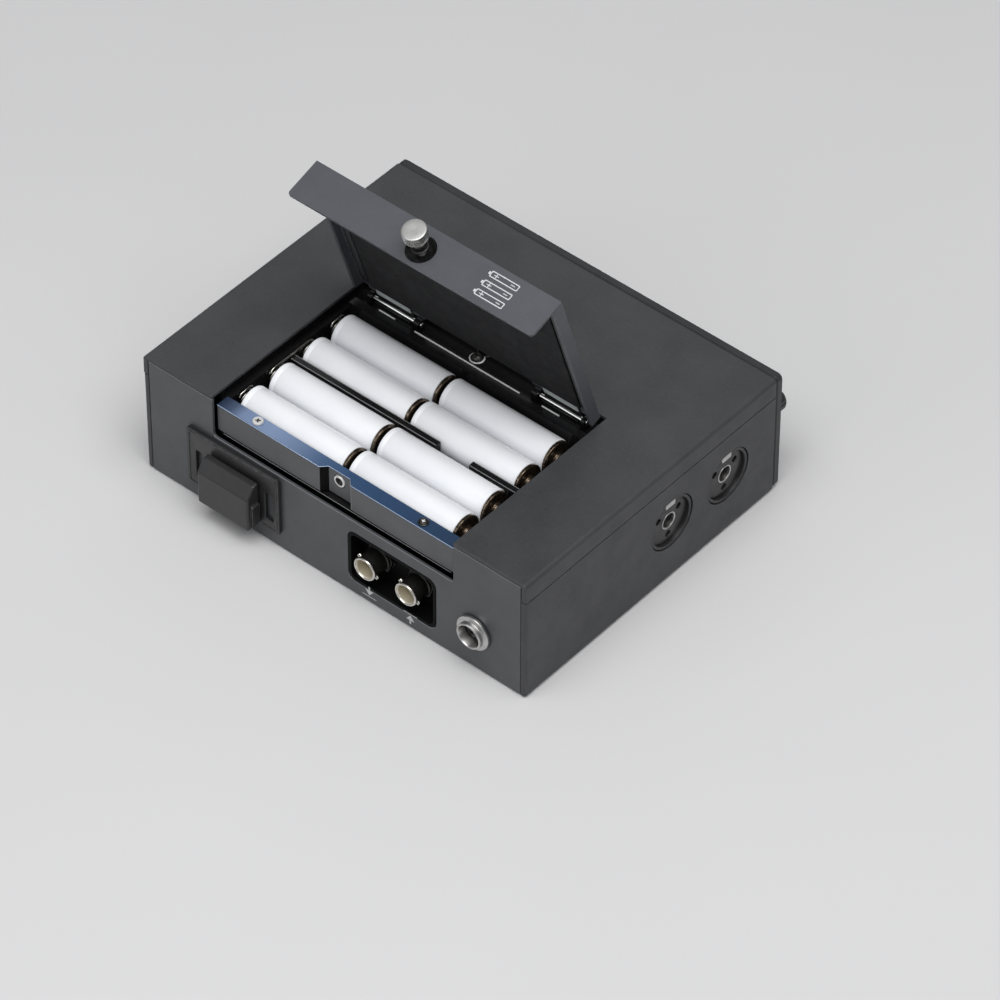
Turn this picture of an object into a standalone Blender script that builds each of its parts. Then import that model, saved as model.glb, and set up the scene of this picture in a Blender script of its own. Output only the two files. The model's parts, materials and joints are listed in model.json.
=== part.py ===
# Portable four-channel field recorder with its battery lid open.
# Frame: origin at the centre of the bottom face, +Z up, rear panel towards +Y,
# front panel towards -Y. Lengths below are millimetres, scaled by MM to metres.
# A span is a (low, high) pair on one axis; a side is -1 for -X and 1 for +X.
import itertools
import math
import bpy
import bmesh
from mathutils import Matrix, Vector

MM = 0.001

# ---- driving dimensions ---------------------------------------------------
BODY_W, BODY_D, BODY_H = 178.0, 140.0, 54.4
HALF_W, HALF_D = BODY_W / 2, BODY_D / 2
GAP = 0.3                      # running gap between neighbours
SIDE_T, COVER_T = 2.2, 1.5     # side panel and cover thickness
FRONT_T, REAR_T = 3.6, 1.2
PANEL_FOOT_Z = 0.4             # lower edge of the front, rear and side panels
SEAM_Z = 45.75                 # seam between the cover flange and the side panel
COVER_Y = -HALF_D + FRONT_T + GAP    # front edge of the cover and the side panels
SIDES = (-1, 1)

HINGE_Y, HINGE_Z = -7.9, 51.8
HINGE_BORE_R = 1.3
SCREW_Z = 45.2                 # thumbscrew axis height when the lid is shut

LEFT_X = -78.5                 # column of controls at the left end of the front
DIAL_X = 74.0                  # column at the right end
HEADPHONE_Z = 12.5
DISPLAY_X, DISPLAY_Z = (-66.5, -13.5), (9.5, 46.5)
JACK_Y, JACK_Z, JACK_R = (-40.0, -9.0), 26.5, 11.3
CARD_Y, CARD_Z = (24.0, 56.0), (14.0, 30.0)
BNC_POCKET_X, BNC_POCKET_Z = (-46.6, -8.6), (7.4, 28.5)
PIN_CAP_X, PIN_CAP_Z = (33.0, 57.0), (8.2, 28.0)
DC_X, DC_Z = -66.0, 18.0
TRIPOD_Y = 28.0
POSTS = ((-50, -48), (50, -48), (-50, 46), (50, 46))    # x, y of the board's posts

# name, x, z, radius, length
KNOBS = [("gain_knob_%d" % (k + 1), 19.5 * k, 31.0, 5.9, 12.0) for k in range(4)] + [
    ("headphone_knob", LEFT_X, 29.5, 5.2, 10.0),
    ("select_dial", DIAL_X, 16.0, 7.6, 9.0),
]
# name, x, z, width, height
KEYS = [(name + "_key", -2.5 + 13.0 * k, 11.5, 11.0, 7.6)
        for k, name in enumerate(("rewind", "stop", "forward", "play", "record"))] + [
    ("power_key", LEFT_X, 45.2, 10.0, 5.6),
    ("menu_key", DIAL_X, 33.5, 10.0, 5.6),
    ("slate_key", DIAL_X, 44.5, 10.0, 5.6),
]

# ---- finishes -------------------------------------------------------------
PAINT = dict(colour=(0.045, 0.047, 0.050), roughness=0.5, metallic=0.0)
GLOSS = dict(colour=(0.012, 0.012, 0.013), roughness=0.2, metallic=0.0)
MATTE = dict(colour=(0.02, 0.02, 0.021), roughness=0.6, metallic=0.0)
STEEL = dict(colour=(0.62, 0.61, 0.58), roughness=0.25, metallic=1.0)
WHITE = dict(colour=(0.78, 0.8, 0.84), roughness=0.35, metallic=0.0)
BOARD = dict(colour=(0.02, 0.12, 0.06), roughness=0.5, metallic=0.0)
RAIL = dict(colour=(0.03, 0.05, 0.10), roughness=0.35, metallic=0.3)
LENS = dict(colour=(0.01, 0.01, 0.012), roughness=0.05, metallic=0.0)
SCREEN = dict(colour=(0.05, 0.08, 0.1), roughness=0.3, metallic=0.0)


def material(name, colour, roughness, metallic):
    result = bpy.data.materials.new(name)
    result.use_nodes = True
    inputs = result.node_tree.nodes["Principled BSDF"].inputs
    inputs["Base Color"].default_value = (*colour, 1)
    inputs["Roughness"].default_value = roughness
    inputs["Metallic"].default_value = metallic
    return result


# ---- scene ----------------------------------------------------------------
def new_collection(name):
    collection = bpy.data.collections.new(name)
    bpy.context.scene.collection.children.link(collection)
    return collection


for old_object in list(bpy.data.objects):
    bpy.data.objects.remove(old_object, do_unlink=True)
for old_collection in list(bpy.data.collections):
    bpy.data.collections.remove(old_collection)
PARTS = new_collection("field_recorder")
CUTTERS = new_collection("cutters")


# ---- spans ----------------------------------------------------------------
def around(centre, half):
    return centre - half, centre + half


def grow(span, margin):
    return span[0] - margin, span[1] + margin


def on_side(side, near, far):
    """The span between two distances from the middle plane, on one side of it."""
    return tuple(sorted((side * near, side * far)))


# ---- shapes, as meshes in millimetres -------------------------------------
def box(*spans):
    bm = bmesh.new()
    bmesh.ops.create_cube(bm, size=1.0)
    for vert in bm.verts:
        vert.co = [(low + high) / 2 + unit * (high - low)
                   for unit, (low, high) in zip(vert.co, spans)]
    return bm


def rounded(bm, radius, segments, picks):
    """Rounds the edges whose midpoint and direction pass the picks test."""
    edges = []
    for edge in bm.edges:
        start, end = (vert.co for vert in edge.verts)
        if picks((start + end) / 2, (end - start).normalized()):
            edges.append(edge)
    bmesh.ops.bevel(bm, geom=edges, offset=radius, offset_type='OFFSET', segments=segments,
                    profile=0.5, affect='EDGES', clamp_overlap=True)
    return bm


def along(axis):
    index = "xyz".index(axis)
    return lambda mid, run: abs(run[index]) > 0.99


def cylinder(axis, centre, span, radius, segments, end_radius=None):
    """A cylinder or cone over a span of its axis; centre gives the other two coordinates."""
    bm = bmesh.new()
    bmesh.ops.create_cone(bm, cap_ends=True, segments=segments, radius1=radius,
                          radius2=radius if end_radius is None else end_radius,
                          depth=span[1] - span[0])
    turn = {'x': Matrix.Rotation(math.pi / 2, 4, 'Y'),
            'y': Matrix.Rotation(-math.pi / 2, 4, 'X'),
            'z': Matrix.Identity(4)}[axis]
    middle = list(centre)
    middle.insert("xyz".index(axis), (span[0] + span[1]) / 2)
    bmesh.ops.transform(bm, matrix=Matrix.Translation(middle) @ turn, verts=bm.verts)
    return bm


def prism(outline, z_span):
    """An (x, y) outline carried over a span of z."""
    bm = bmesh.new()
    face = bm.faces.new([bm.verts.new((x, y, z_span[0])) for x, y in outline])
    extruded = bmesh.ops.extrude_face_region(bm, geom=[face])["geom"]
    moved = [item for item in extruded if isinstance(item, bmesh.types.BMVert)]
    bmesh.ops.translate(bm, verts=moved, vec=(0, 0, z_span[1] - z_span[0]))
    bmesh.ops.recalc_face_normals(bm, faces=bm.faces)
    return bm


# ---- objects --------------------------------------------------------------
def add_object(name, bm, collection, parent):
    bmesh.ops.scale(bm, vec=(MM, MM, MM), verts=bm.verts)
    mesh = bpy.data.meshes.new(name)
    bm.to_mesh(mesh)
    bm.free()
    result = bpy.data.objects.new(name, mesh)
    collection.objects.link(result)
    result.parent = parent
    return result


def add_part(name, bm, look, origin=(0, 0, 0), parent=None):
    """A part whose mesh is given relative to its origin."""
    part = add_object(name, bm, PARTS, parent)
    part.data.materials.append(material(name + "_finish", **look))
    part.location = Vector(origin) * MM
    return part


cutter_numbers = itertools.count(1)


def boolean(part, operation, bm):
    """Applies a hidden helper, given in the frame of the part's parent."""
    name = "%s_%s_%03d" % (part.name, operation.lower(), next(cutter_numbers))
    helper = add_object(name, bm, CUTTERS, part.parent)
    helper.hide_render = True
    helper.display_type = 'WIRE'
    modifier = part.modifiers.new(name, 'BOOLEAN')
    modifier.operation = operation
    modifier.solver = 'EXACT'
    modifier.object = helper


def cut(part, bm):
    boolean(part, 'DIFFERENCE', bm)


def join(part, bm):
    boolean(part, 'UNION', bm)


TURNS = {'+z': (0, 0, 0),
         '+y': (-math.pi / 2, 0, 0), '-y': (math.pi / 2, 0, 0),
         '+x': (0, math.pi / 2, 0), '-x': (0, -math.pi / 2, 0)}


def turned(name, profile, look, origin, axis, steps, parent=None):
    """Revolves (radius, height) points about an axis from the origin."""
    bm = bmesh.new()
    verts = [bm.verts.new((radius, 0, height)) for radius, height in profile]
    for pair in zip(verts, verts[1:]):
        bm.edges.new(pair)
    if profile[0][0] > 0:              # a ring: the profile closes on itself
        bm.edges.new((verts[-1], verts[0]))
    part = add_part(name, bm, look, origin, parent)
    part.rotation_euler = TURNS[axis]
    screw = part.modifiers.new("turn", 'SCREW')
    screw.axis = 'Z'
    screw.steps = screw.render_steps = steps
    screw.use_merge_vertices = True
    screw.merge_threshold = 0.00001
    screw.use_smooth_shade = True
    return part


# ---- casing ---------------------------------------------------------------
OPENING_X, OPENING_Y = (-56.0, 56.0), -12.0         # battery opening
REAR_CUT_Y = around(HALF_D, 8)                      # spans that clear a panel
FRONT_CUT_Y = (-HALF_D - 6, -HALF_D + 12)
CHASSIS_GAP = GAP + 0.1
CHASSIS_WALL, CHASSIS_FLOOR, CHASSIS_H = 1.2, 1.5, 5.0
FOOT_RECESSES = ((-72, -56), (72, -56), (-72, 58), (72, 58))
SHAFT_HOLE_R = 3.4


def bottom_chassis():
    x_span = around(0, HALF_W - SIDE_T - CHASSIS_GAP)
    y_span = (-HALF_D + FRONT_T + CHASSIS_GAP, HALF_D - REAR_T - CHASSIS_GAP)
    part = add_part("bottom_chassis",
                    rounded(box(x_span, y_span, (0, CHASSIS_H)), 2.0, 3, along('z')), PAINT)
    cut(part, box(grow(x_span, -CHASSIS_WALL), grow(y_span, -CHASSIS_WALL), (CHASSIS_FLOOR, 20)))
    for post in POSTS:
        join(part, cylinder('z', post, (1.0, 11.7), 2.6, 16))
    cut(part, cylinder('z', (0, TRIPOD_Y), (-2, 4), 6.6, 32))
    for recess in FOOT_RECESSES:
        cut(part, cylinder('z', recess, (-1, 0.9), 2.6, 16))


def tripod_insert():
    profile = [(2.75, 9.0), (5.0, 9.0), (5.0, 3.2), (9.0, 3.2),
               (9.0, 1.85), (6.2, 1.85), (6.2, 0.2), (2.75, 0.2)]
    turned("tripod_insert", profile, STEEL, (0, TRIPOD_Y, 0), '+z', 20)


def top_cover():
    shell = box((-HALF_W, HALF_W), (COVER_Y, HALF_D), (SEAM_Z + GAP / 2, BODY_H))
    rounded(shell, 1.8, 4, lambda mid, run: abs(run.y) > 0.99 and mid.z > BODY_H - 0.1)
    part = add_part("top_cover", shell, PAINT)
    cut(part, box(around(0, HALF_W - SIDE_T), (COVER_Y - 5, HALF_D + 5), (30, BODY_H - COVER_T)))
    cut(part, box(OPENING_X, (OPENING_Y, HALF_D + 8), around(BODY_H, 4)))


def side_panel(name, side):
    def outer_edge(mid, run):
        """The bottom, front and rear edges of the outer face, less the front upright."""
        return abs(mid.x) > HALF_W - 0.1 and (
            abs(run.y) > 0.99 and mid.z < 5 or abs(run.z) > 0.99 and mid.y > 0)

    x_span = on_side(side, HALF_W - SIDE_T, HALF_W)
    plate = box(x_span, (COVER_Y, HALF_D), (PANEL_FOOT_Z, SEAM_Z - GAP / 2))
    part = add_part(name, rounded(plate, 0.8, 2, outer_edge), PAINT)
    for y in JACK_Y:
        cut(part, cylinder('x', (y, JACK_Z), grow(x_span, 3), JACK_R + GAP, 32))
    if side > 0:
        cut(part, box(around(HALF_W, 8), CARD_Y, CARD_Z))


def rear_panel():
    part = add_part("rear_panel", box(around(0, HALF_W - SIDE_T - GAP), (HALF_D - REAR_T, HALF_D),
                                      (PANEL_FOOT_Z, BODY_H - COVER_T - GAP)), PAINT)
    cut(part, rounded(box(OPENING_X, REAR_CUT_Y, (35.3, 70)), 1.5, 3, along('y')))
    cut(part, rounded(box(grow(BNC_POCKET_X, 1.5), REAR_CUT_Y, grow(BNC_POCKET_Z, 1.5)),
                      3.6, 4, along('y')))
    cut(part, box(grow(PIN_CAP_X, -0.6), REAR_CUT_Y, (9.0, 27.6)))
    cut(part, cylinder('y', (DC_X, DC_Z), REAR_CUT_Y, 6.0, 32))


def front_panel():
    plate = box((-HALF_W, HALF_W), (-HALF_D, -HALF_D + FRONT_T), (PANEL_FOOT_Z, BODY_H))
    part = add_part("front_panel", rounded(plate, 2.4, 4, along('y')), PAINT)
    bevel = part.modifiers.new("edge", 'BEVEL')
    bevel.width = 0.7 * MM
    bevel.segments = 1
    bevel.limit_method = 'ANGLE'
    bevel.angle_limit = math.radians(60)
    cut(part, rounded(box(DISPLAY_X, FRONT_CUT_Y, DISPLAY_Z), 1.5, 3, along('y')))
    for _, x, z, _, _ in KNOBS:
        cut(part, cylinder('y', (x, z), FRONT_CUT_Y, SHAFT_HOLE_R, 16))
    cut(part, cylinder('y', (LEFT_X, HEADPHONE_Z), FRONT_CUT_Y, 4.6, 20))
    for _, x, z, width, height in KEYS:
        hole = box(around(x, width / 2 + GAP), FRONT_CUT_Y, around(z, height / 2 + GAP))
        cut(part, rounded(hole, 1.2, 3, along('y')))


# ---- battery bay ----------------------------------------------------------
ROWS = (55.8, 40.3, 22.8, 7.3)                     # y of each row of cells
CELL_R, CELL_L, CELL_Z = 7.15, 50.5, 44.7
CELL_X = (50.0, -0.8)          # flat end of the +X and of the -X cell of a row
TRAY_X, TRAY_T = 53.9, 1.5     # tray cavity half width, wall thickness
TRAY_Y = (-3.9, 64.1)
KNUCKLES_X = ((26.4, 28.9), (49.0, 50.6))          # tray knuckles, out from the middle
RAIL_X, RAIL_Y, RAIL_TOP, RAIL_T = 55.5, (62.4, 68.0), 49.4, 1.2
RAIL_SCREW_X, RAIL_SCREW_Y = 38.5, 65.3
# x, y of the notch in the rear face of the rail, round the thumbscrew
RAIL_NOTCH = [(-9.2, 70.0), (-7.3, 68.0), (-5.0, 65.6), (5.0, 65.6), (7.3, 68.0), (9.2, 70.0)]
# name, side, the rows served
CONTACTS = (
    ("contact_right_row_1", 1, (0,)),
    ("contact_right_bridge", 1, (1, 2)),
    ("contact_right_row_4", 1, (3,)),
    ("contact_left_bridge_1", -1, (0, 1)),
    ("contact_left_bridge_2", -1, (2, 3)),
)
CONTACT_REACH = {1: CELL_X[0] + 0.4, -1: 51.65}    # how near the middle a stud comes


def battery_tray():
    y_front, y_rear = TRAY_Y
    rim = box((-58.5, 58.5), (-14.0, y_rear - 0.2), (46.8, 52.6))
    part = add_part("battery_tray", rim, GLOSS)
    cut(part, box((-57.3, 57.3), (-12.8, 80), (48.2, 60)))
    join(part, box(around(0, TRAY_X + TRAY_T), TRAY_Y, (36.0, 47.9)))
    # raised front and side walls
    join(part, box((-54.1, 54.1), (y_front + 0.1, -0.25), (45.0, 51.6)))
    for side in SIDES:
        join(part, box(on_side(side, TRAY_X - 0.4, TRAY_X + TRAY_T - 0.1),
                       (y_front + 0.2, 61.9), (45.2, 49.3)))
    cut(part, box((-TRAY_X, TRAY_X), (-0.2, 63.3), (37.2, 70)))
    join(part, box((-54.5, 54.5), (63.5, 67.7), (36.1, 36.8)))      # sill under the rail's skirt
    # rib between the middle rows, and its notch
    join(part, box((-52.5, 52.5), (30.3, 32.8), (36.4, 48.6)))
    cut(part, box((-31.1, -15.9), (30.0, 33.1), (41.0, 70)))
    cut(part, cylinder('y', (0, SCREW_Z), (62, 67), 3.2, 24))
    for side in SIDES:
        for near, far in KNUCKLES_X:
            knuckle = box(on_side(side, near, far), around(HINGE_Y, 1.9), (47.5, HINGE_Z + 1.8))
            join(part, rounded(knuckle, 1.4, 3,
                               lambda mid, run: abs(run.x) > 0.99 and mid.z > HINGE_Z))
        cut(part, cylinder('x', (HINGE_Y, HINGE_Z), on_side(side, 24, 53), HINGE_BORE_R, 20))


def battery_rail():
    y_front, y_rear = RAIL_Y
    part = add_part("battery_rail",
                    box((-RAIL_X, RAIL_X), RAIL_Y, (RAIL_TOP - RAIL_T, RAIL_TOP)), RAIL)
    # skirt down the rear edge, then the block behind the notch
    join(part, box(around(0, RAIL_X - 0.1), (y_rear - RAIL_T, y_rear - 0.05),
                   (37.6, RAIL_TOP - 0.1)))
    join(part, box((-9.0, 9.0), (64.8, y_rear - 0.1), (37.7, RAIL_TOP - 0.2)))
    cut(part, prism(RAIL_NOTCH, (30, 60)))
    cut(part, cylinder('y', (0, SCREW_Z), (60, 70), 2.75, 24))
    for side in SIDES:
        cut(part, cylinder('z', (side * RAIL_SCREW_X, RAIL_SCREW_Y), (40, 60), 1.2, 16))


def rail_screw(name, x):
    profile = [(0, 1.15), (1.3, 1.05), (2.15, 0.35), (2.15, 0.0),
               (0.9, 0.0), (0.9, -4.2), (0, -4.2)]
    part = turned(name, profile, STEEL, (x, RAIL_SCREW_Y, RAIL_TOP + 0.25), '+z', 16)
    for half_x, half_y in ((1.3, 0.28), (0.28, 1.3)):               # cross slot
        cut(part, box(around(x, half_x), around(RAIL_SCREW_Y, half_y),
                      (RAIL_TOP + 0.75, RAIL_TOP + 3)))


def thumbscrew_insert():
    profile = [(1.65, 1.9), (2.2, 1.9), (2.45, 1.65), (2.45, 0.05), (1.65, 0.05)]
    turned("thumbscrew_insert", profile, STEEL, (0, 64.0, SCREW_Z), '+y', 24)


def battery_cells():
    profile = [(0, CELL_L), (2.6, CELL_L), (2.7, CELL_L - 1.3), (5.3, CELL_L - 1.3),
               (6.8, CELL_L - 1.9), (CELL_R, CELL_L - 2.9), (CELL_R, 0.6),
               (CELL_R - 0.7, 0.0), (0, 0.0)]
    for number, (y, x) in enumerate(itertools.product(ROWS, CELL_X), 1):
        turned("battery_cell_%d" % number, profile, WHITE, (x, y, CELL_Z), '-x', 24)


def contact(name, side, rows):
    """A sheet contact on an end wall, with a stud that widens towards each cell."""
    row_ys = [ROWS[row] for row in rows]
    face_x = TRAY_X - GAP
    plate = box(on_side(side, face_x - 0.6, face_x),
                (min(row_ys) - 3.2, max(row_ys) + 3.2), (40.6, 48.4))
    part = add_part(name, rounded(plate, 1.2, 3, along('x')), STEEL)
    low_radius, high_radius = (2.6, 1.6)[::side]
    for y in row_ys:
        join(part, cylinder('x', (y, CELL_Z), on_side(side, face_x - 0.4, CONTACT_REACH[side]),
                            low_radius, 12, high_radius))


# ---- lid ------------------------------------------------------------------
LID_HALF, LID_LIP, LID_T = 55.7, 16.3, 1.3         # half width, rear lip height, thickness
LID_FLANGE = 4.7                                   # depth of the side flanges
LID_OPEN = 72.5                                    # degrees from closed, at rest
LID_BARREL_X = (31.0, 48.0)                        # hinge barrels, out from the middle
THUMBSCREW_Y = 66.6                                # tip, drawn back with the lid open


def from_hinge(bm):
    """Moves a shape drawn in the shut position to the hinge axis's frame."""
    bmesh.ops.translate(bm, verts=bm.verts, vec=(0, -HINGE_Y, -HINGE_Z))
    return bm


def lid_pivot():
    pivot = bpy.data.objects.new("battery_door_pivot", None)
    PARTS.objects.link(pivot)
    pivot.location = Vector((0, HINGE_Y, HINGE_Z)) * MM
    pivot.rotation_euler = (math.radians(LID_OPEN), 0, 0)
    return pivot


def battery_door(pivot):
    top, lip = BODY_H, BODY_H - LID_LIP

    def outer_edge(mid, run):
        """The rear and side edges of the top, and the uprights of the rear lip."""
        return (mid.z > top - 0.05 and (abs(run.x) > 0.99 and mid.y > 0 or abs(run.y) > 0.99)
                or abs(run.z) > 0.99 and mid.y > HALF_D - 0.05)

    shell = box((-LID_HALF, LID_HALF), (-5.4, HALF_D), (lip, top))
    rounded(shell, 2.8, 4, lambda mid, run: abs(run.y) > 0.99 and mid.z < lip + 0.1)
    rounded(shell, 0.7, 2, outer_edge)
    part = add_part("battery_door", from_hinge(shell), PAINT, parent=pivot)

    # hollow, side flanges trimmed to depth, gap between the two hinges
    hollow_y = (-9, HALF_D - LID_T)
    cut(part, from_hinge(box(around(0, LID_HALF - LID_T + 0.1), hollow_y, (20, top - LID_T))))
    cut(part, from_hinge(box(around(0, LID_HALF + 5), hollow_y, (20, top - LID_FLANGE))))
    cut(part, from_hinge(box((-25.2, 25.2), (-9, -1.5), around(top, 4))))
    for side in SIDES:
        barrel_x = on_side(side, *LID_BARREL_X)
        axis = (HINGE_Y, HINGE_Z)
        join(part, from_hinge(box(barrel_x, (HINGE_Y, -4.6), (top - LID_T - 0.02, top - 0.02))))
        join(part, from_hinge(cylinder('x', axis, barrel_x, 1.95, 24)))
        cut(part, from_hinge(box(on_side(side, 51.4, 60.0), (-9, -3.4), (top - 8, top + 4))))
        cut(part, from_hinge(cylinder('x', axis, grow(barrel_x, 3), HINGE_BORE_R, 20)))
    # cup round the thumbscrew, and its bore
    screw_axis = (0, SCREW_Z)
    join(part, from_hinge(cylinder('y', screw_axis, (66.8, HALF_D - 0.3), 4.4, 24, 6.6)))
    cut(part, from_hinge(cylinder('y', screw_axis, (67.9, HALF_D + 0.02), 3.7, 24, 6.1)))
    cut(part, from_hinge(cylinder('y', screw_axis, (60, 75), 1.7, 16)))


def battery_door_pad(pivot):
    pad = rounded(box((-49.5, 49.5), (0.0, 63.5), (52.15, 52.8)), 1.5, 3, along('z'))
    add_part("battery_door_pad", from_hinge(pad), MATTE, parent=pivot)


def battery_thumbscrew(pivot):
    y, z = THUMBSCREW_Y - HINGE_Y, SCREW_Z - HINGE_Z
    profile = [(0, 15.6), (4.2, 15.6), (4.7, 15.1), (4.7, 11.4), (4.4, 11.1), (2.7, 11.0),
               (2.7, 6.2), (1.3, 6.0), (1.3, 0.4), (0.9, 0.0), (0, 0.0)]
    turned("battery_thumbscrew", profile, STEEL, (0, y, z), '+y', 24, pivot)
    washer = [(1.65, 0.6), (3.3, 0.6), (3.3, 0.0), (1.65, 0.0)]
    turned("thumbscrew_washer", washer, STEEL, (0, y + 5.05, z), '+y', 24, pivot)


def hinge_rod(name, side):
    profile = [(0, 25.2), (0.8, 25.2), (1.0, 25.0), (1.0, 0.2), (0.8, 0), (0, 0)]
    turned(name, profile, STEEL, (side * 25.8, HINGE_Y, HINGE_Z), '+x' if side > 0 else '-x', 14)


# ---- rear sockets ---------------------------------------------------------
BNC_X, BNC_Z, BNC_Y = (-17.0, -36.1), 18.0, 56.9
BNC_LUG_Y, BNC_LUG_ANGLE = 70.4, math.radians(56)
PIN_FRAME_X, PIN_FRAME_Z = (24.0, 68.0), (7.0, 34.0)


def bnc_bezel():
    block = box(grow(BNC_POCKET_X, 1.2), (61.2, HALF_D - 0.1), grow(BNC_POCKET_Z, 1.2))
    part = add_part("bnc_bezel", rounded(block, 3.3, 4, along('y')), GLOSS)
    cut(part, rounded(box(BNC_POCKET_X, (62.5, HALF_D + 6), BNC_POCKET_Z), 2.4, 4, along('y')))
    for x in BNC_X:
        cut(part, cylinder('y', (x, BNC_Z), (55, 68), 4.7, 28))


def bnc_socket(name, x):
    profile = [(0, 13.5), (0.8, 13.5), (0.8, 9.2), (4.1, 9.2), (4.1, 15.7), (4.85, 15.7),
               (4.85, 7.5), (6.1, 7.4), (6.1, 6.0), (4.4, 5.8), (4.4, 0.0), (0, 0.0)]
    part = turned(name, profile, STEEL, (x, BNC_Y, BNC_Z), '+y', 24)
    for half_turn in (0, math.pi):                 # opposite lugs
        lug = cylinder('x', (0, 0), (4.5, 5.75), 0.95, 8)
        to_socket = (Matrix.Translation((x, BNC_LUG_Y, BNC_Z))
                     @ Matrix.Rotation(half_turn - BNC_LUG_ANGLE, 4, 'Y'))
        bmesh.ops.transform(lug, matrix=to_socket, verts=lug.verts)
        join(part, lug)


def multipin_socket():
    frame = box(PIN_FRAME_X, (HALF_D + GAP, HALF_D + 1.6), PIN_FRAME_Z)
    part = add_part("multipin_socket", rounded(frame, 1.6, 3, along('y')), GLOSS)
    join(part, box((34.2, 55.8), (60.0, HALF_D + 1.0), (9.6, 27.0)))
    cut(part, box((36.5, 53.5), (64.5, HALF_D + 6), (12.0, 24.4)))
    for slot_x in ((26.6, 30.4), (59.6, 63.4)):
        slot = box(slot_x, (HALF_D - 3, HALF_D + 6), (12.0, 25.0))
        cut(part, rounded(slot, 0.8, 2, along('y')))


def multipin_cap():
    block = box(PIN_CAP_X, (HALF_D + 1.95, HALF_D + 8.2), PIN_CAP_Z)
    rounded(block, 4.2, 1,
            lambda mid, run: abs(run.x) > 0.99 and mid.y > HALF_D + 5 and mid.z > 20)
    rounded(block, 0.9, 2, lambda mid, run: mid.y > HALF_D + 4)
    part = add_part("multipin_cap", block, MATTE)
    join(part, box((37.2, 52.8), (67.0, HALF_D + 3), (12.7, 23.7)))    # plug


def dc_socket():
    profile = [(0, 7.5), (4.6, 7.5), (4.6, 13.0), (5.0, 13.4), (5.5, 13.0), (5.5, 11.4),
               (7.2, 11.2), (7.2, 9.8), (5.6, 9.8), (5.6, 0.0), (0, 0.0)]
    turned("dc_socket", profile, STEEL, (DC_X, 60.5, DC_Z), '+y', 24)


# ---- front controls -------------------------------------------------------
def display():
    lens = box(grow(DISPLAY_X, -0.35), (-69.7, -68.4), grow(DISPLAY_Z, -0.35))
    add_part("display_lens", rounded(lens, 1.2, 3, along('y')), LENS)
    module = box(grow(DISPLAY_X, -1.2), (-68.0, -62.5), grow(DISPLAY_Z, -1.2))
    add_part("display_module", module, SCREEN)


def knob(name, x, z, radius, length):
    profile = [(0, length), (radius - 1.0, length), (radius - 0.3, length - 0.9), (radius, 3.0),
               (radius + 0.9, 2.2), (radius + 0.9, 0.0), (3.0, 0.0), (3.0, -10.5), (0, -10.5)]
    turned(name, profile, MATTE, (x, -HALF_D - 0.5, z), '-y', 24)


def key(name, x, z, width, height):
    x_span, z_span = around(x, width / 2), around(z, height / 2)
    button = box(x_span, (-HALF_D - 1.3, -64.9), z_span)
    part = add_part(name, rounded(button, 0.9, 3, along('y')), MATTE)
    join(part, box(grow(x_span, 0.6), (-66.05, -65.0), grow(z_span, 0.6)))    # inner flange


def headphone_jack():
    profile = [(0, -7.0), (3.25, -7.0), (3.25, 7.8), (4.25, 7.6), (4.25, 2.2),
               (6.2, 2.0), (6.2, -9.0), (0, -9.0)]
    turned("headphone_jack", profile, STEEL, (LEFT_X, -64.0, HEADPHONE_Z), '-y', 20)


# ---- side connectors and board --------------------------------------------
PIN_HOLE_RING, PIN_HOLE_R = 6.4, 1.3
JACK_CUT_END = 95.0            # clear of the jack's outer face
CARD_DOOR_X = HALF_W - 1.3


def input_jack(number, side, y):
    housing = box(on_side(side, 60.5, 86.3), around(y, 13.0), around(JACK_Z, 14.8))
    part = add_part("input_jack_%d" % number, rounded(housing, 1.5, 2, along('x')), GLOSS)
    join(part, cylinder('x', (y, JACK_Z), on_side(side, 80.0, 88.6), JACK_R, 28))
    for start, radius, segments in ((87.4, JACK_R - 1.2, 28), (66.0, 3.3, 16)):
        cut(part, cylinder('x', (y, JACK_Z), on_side(side, start, JACK_CUT_END),
                           radius, segments))
    for k in range(3):
        angle = math.radians(150 + 120 * k)
        centre = (y + PIN_HOLE_RING * math.cos(angle), JACK_Z + PIN_HOLE_RING * math.sin(angle))
        cut(part, cylinder('x', centre, on_side(side, 74.0, JACK_CUT_END), PIN_HOLE_R, 8))


def card_door():
    foot = CARD_Z[0]
    plate = box(around(CARD_DOOR_X, 0.8), grow(CARD_Y, -0.4), grow(CARD_Z, -0.4))
    rounded(plate, 0.75, 3, lambda mid, run: abs(run.y) > 0.99 and mid.z < foot + 1)
    rounded(plate, 1.2, 3, lambda mid, run: abs(run.x) > 0.99 and mid.z > foot + 2)
    origin = Vector((CARD_DOOR_X, sum(CARD_Y) / 2, foot + 1.2))
    bmesh.ops.translate(plate, verts=plate.verts, vec=-origin)
    add_part("card_door", plate, MATTE, origin)


def main_board():
    part = add_part("main_board", box((-58, 58), (-56, 54.5), (12.0, 13.6)), BOARD)
    # block with two slots, behind the card door
    join(part, box((50, 85.8), (27.5, 52.5), (13.0, 26.5)))
    for slot_z in ((16.2, 18.6), (21.2, 23.6)):
        cut(part, box((64, 92), (29.0, 51.0), slot_z))
    # three plain blocks on the board
    join(part, box((-22, 18), (-20, 18), (13.2, 18.0)))
    join(part, box((-52, -30), (8, 40), (13.1, 22.0)))
    join(part, box((26, 44), (-44, -20), (13.1, 16.5)))
    for post in POSTS:
        cut(part, cylinder('z', post, (5, 20), 1.6, 12))


# ---- assembly; helper names are numbered in this order --------------------
bottom_chassis()
tripod_insert()
top_cover()
side_panel("left_side_panel", -1)
side_panel("right_side_panel", 1)
rear_panel()
front_panel()

battery_tray()
battery_rail()
rail_screw("rail_screw_left", -RAIL_SCREW_X)
rail_screw("rail_screw_right", RAIL_SCREW_X)
thumbscrew_insert()
battery_cells()
for entry in CONTACTS:
    contact(*entry)

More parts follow.
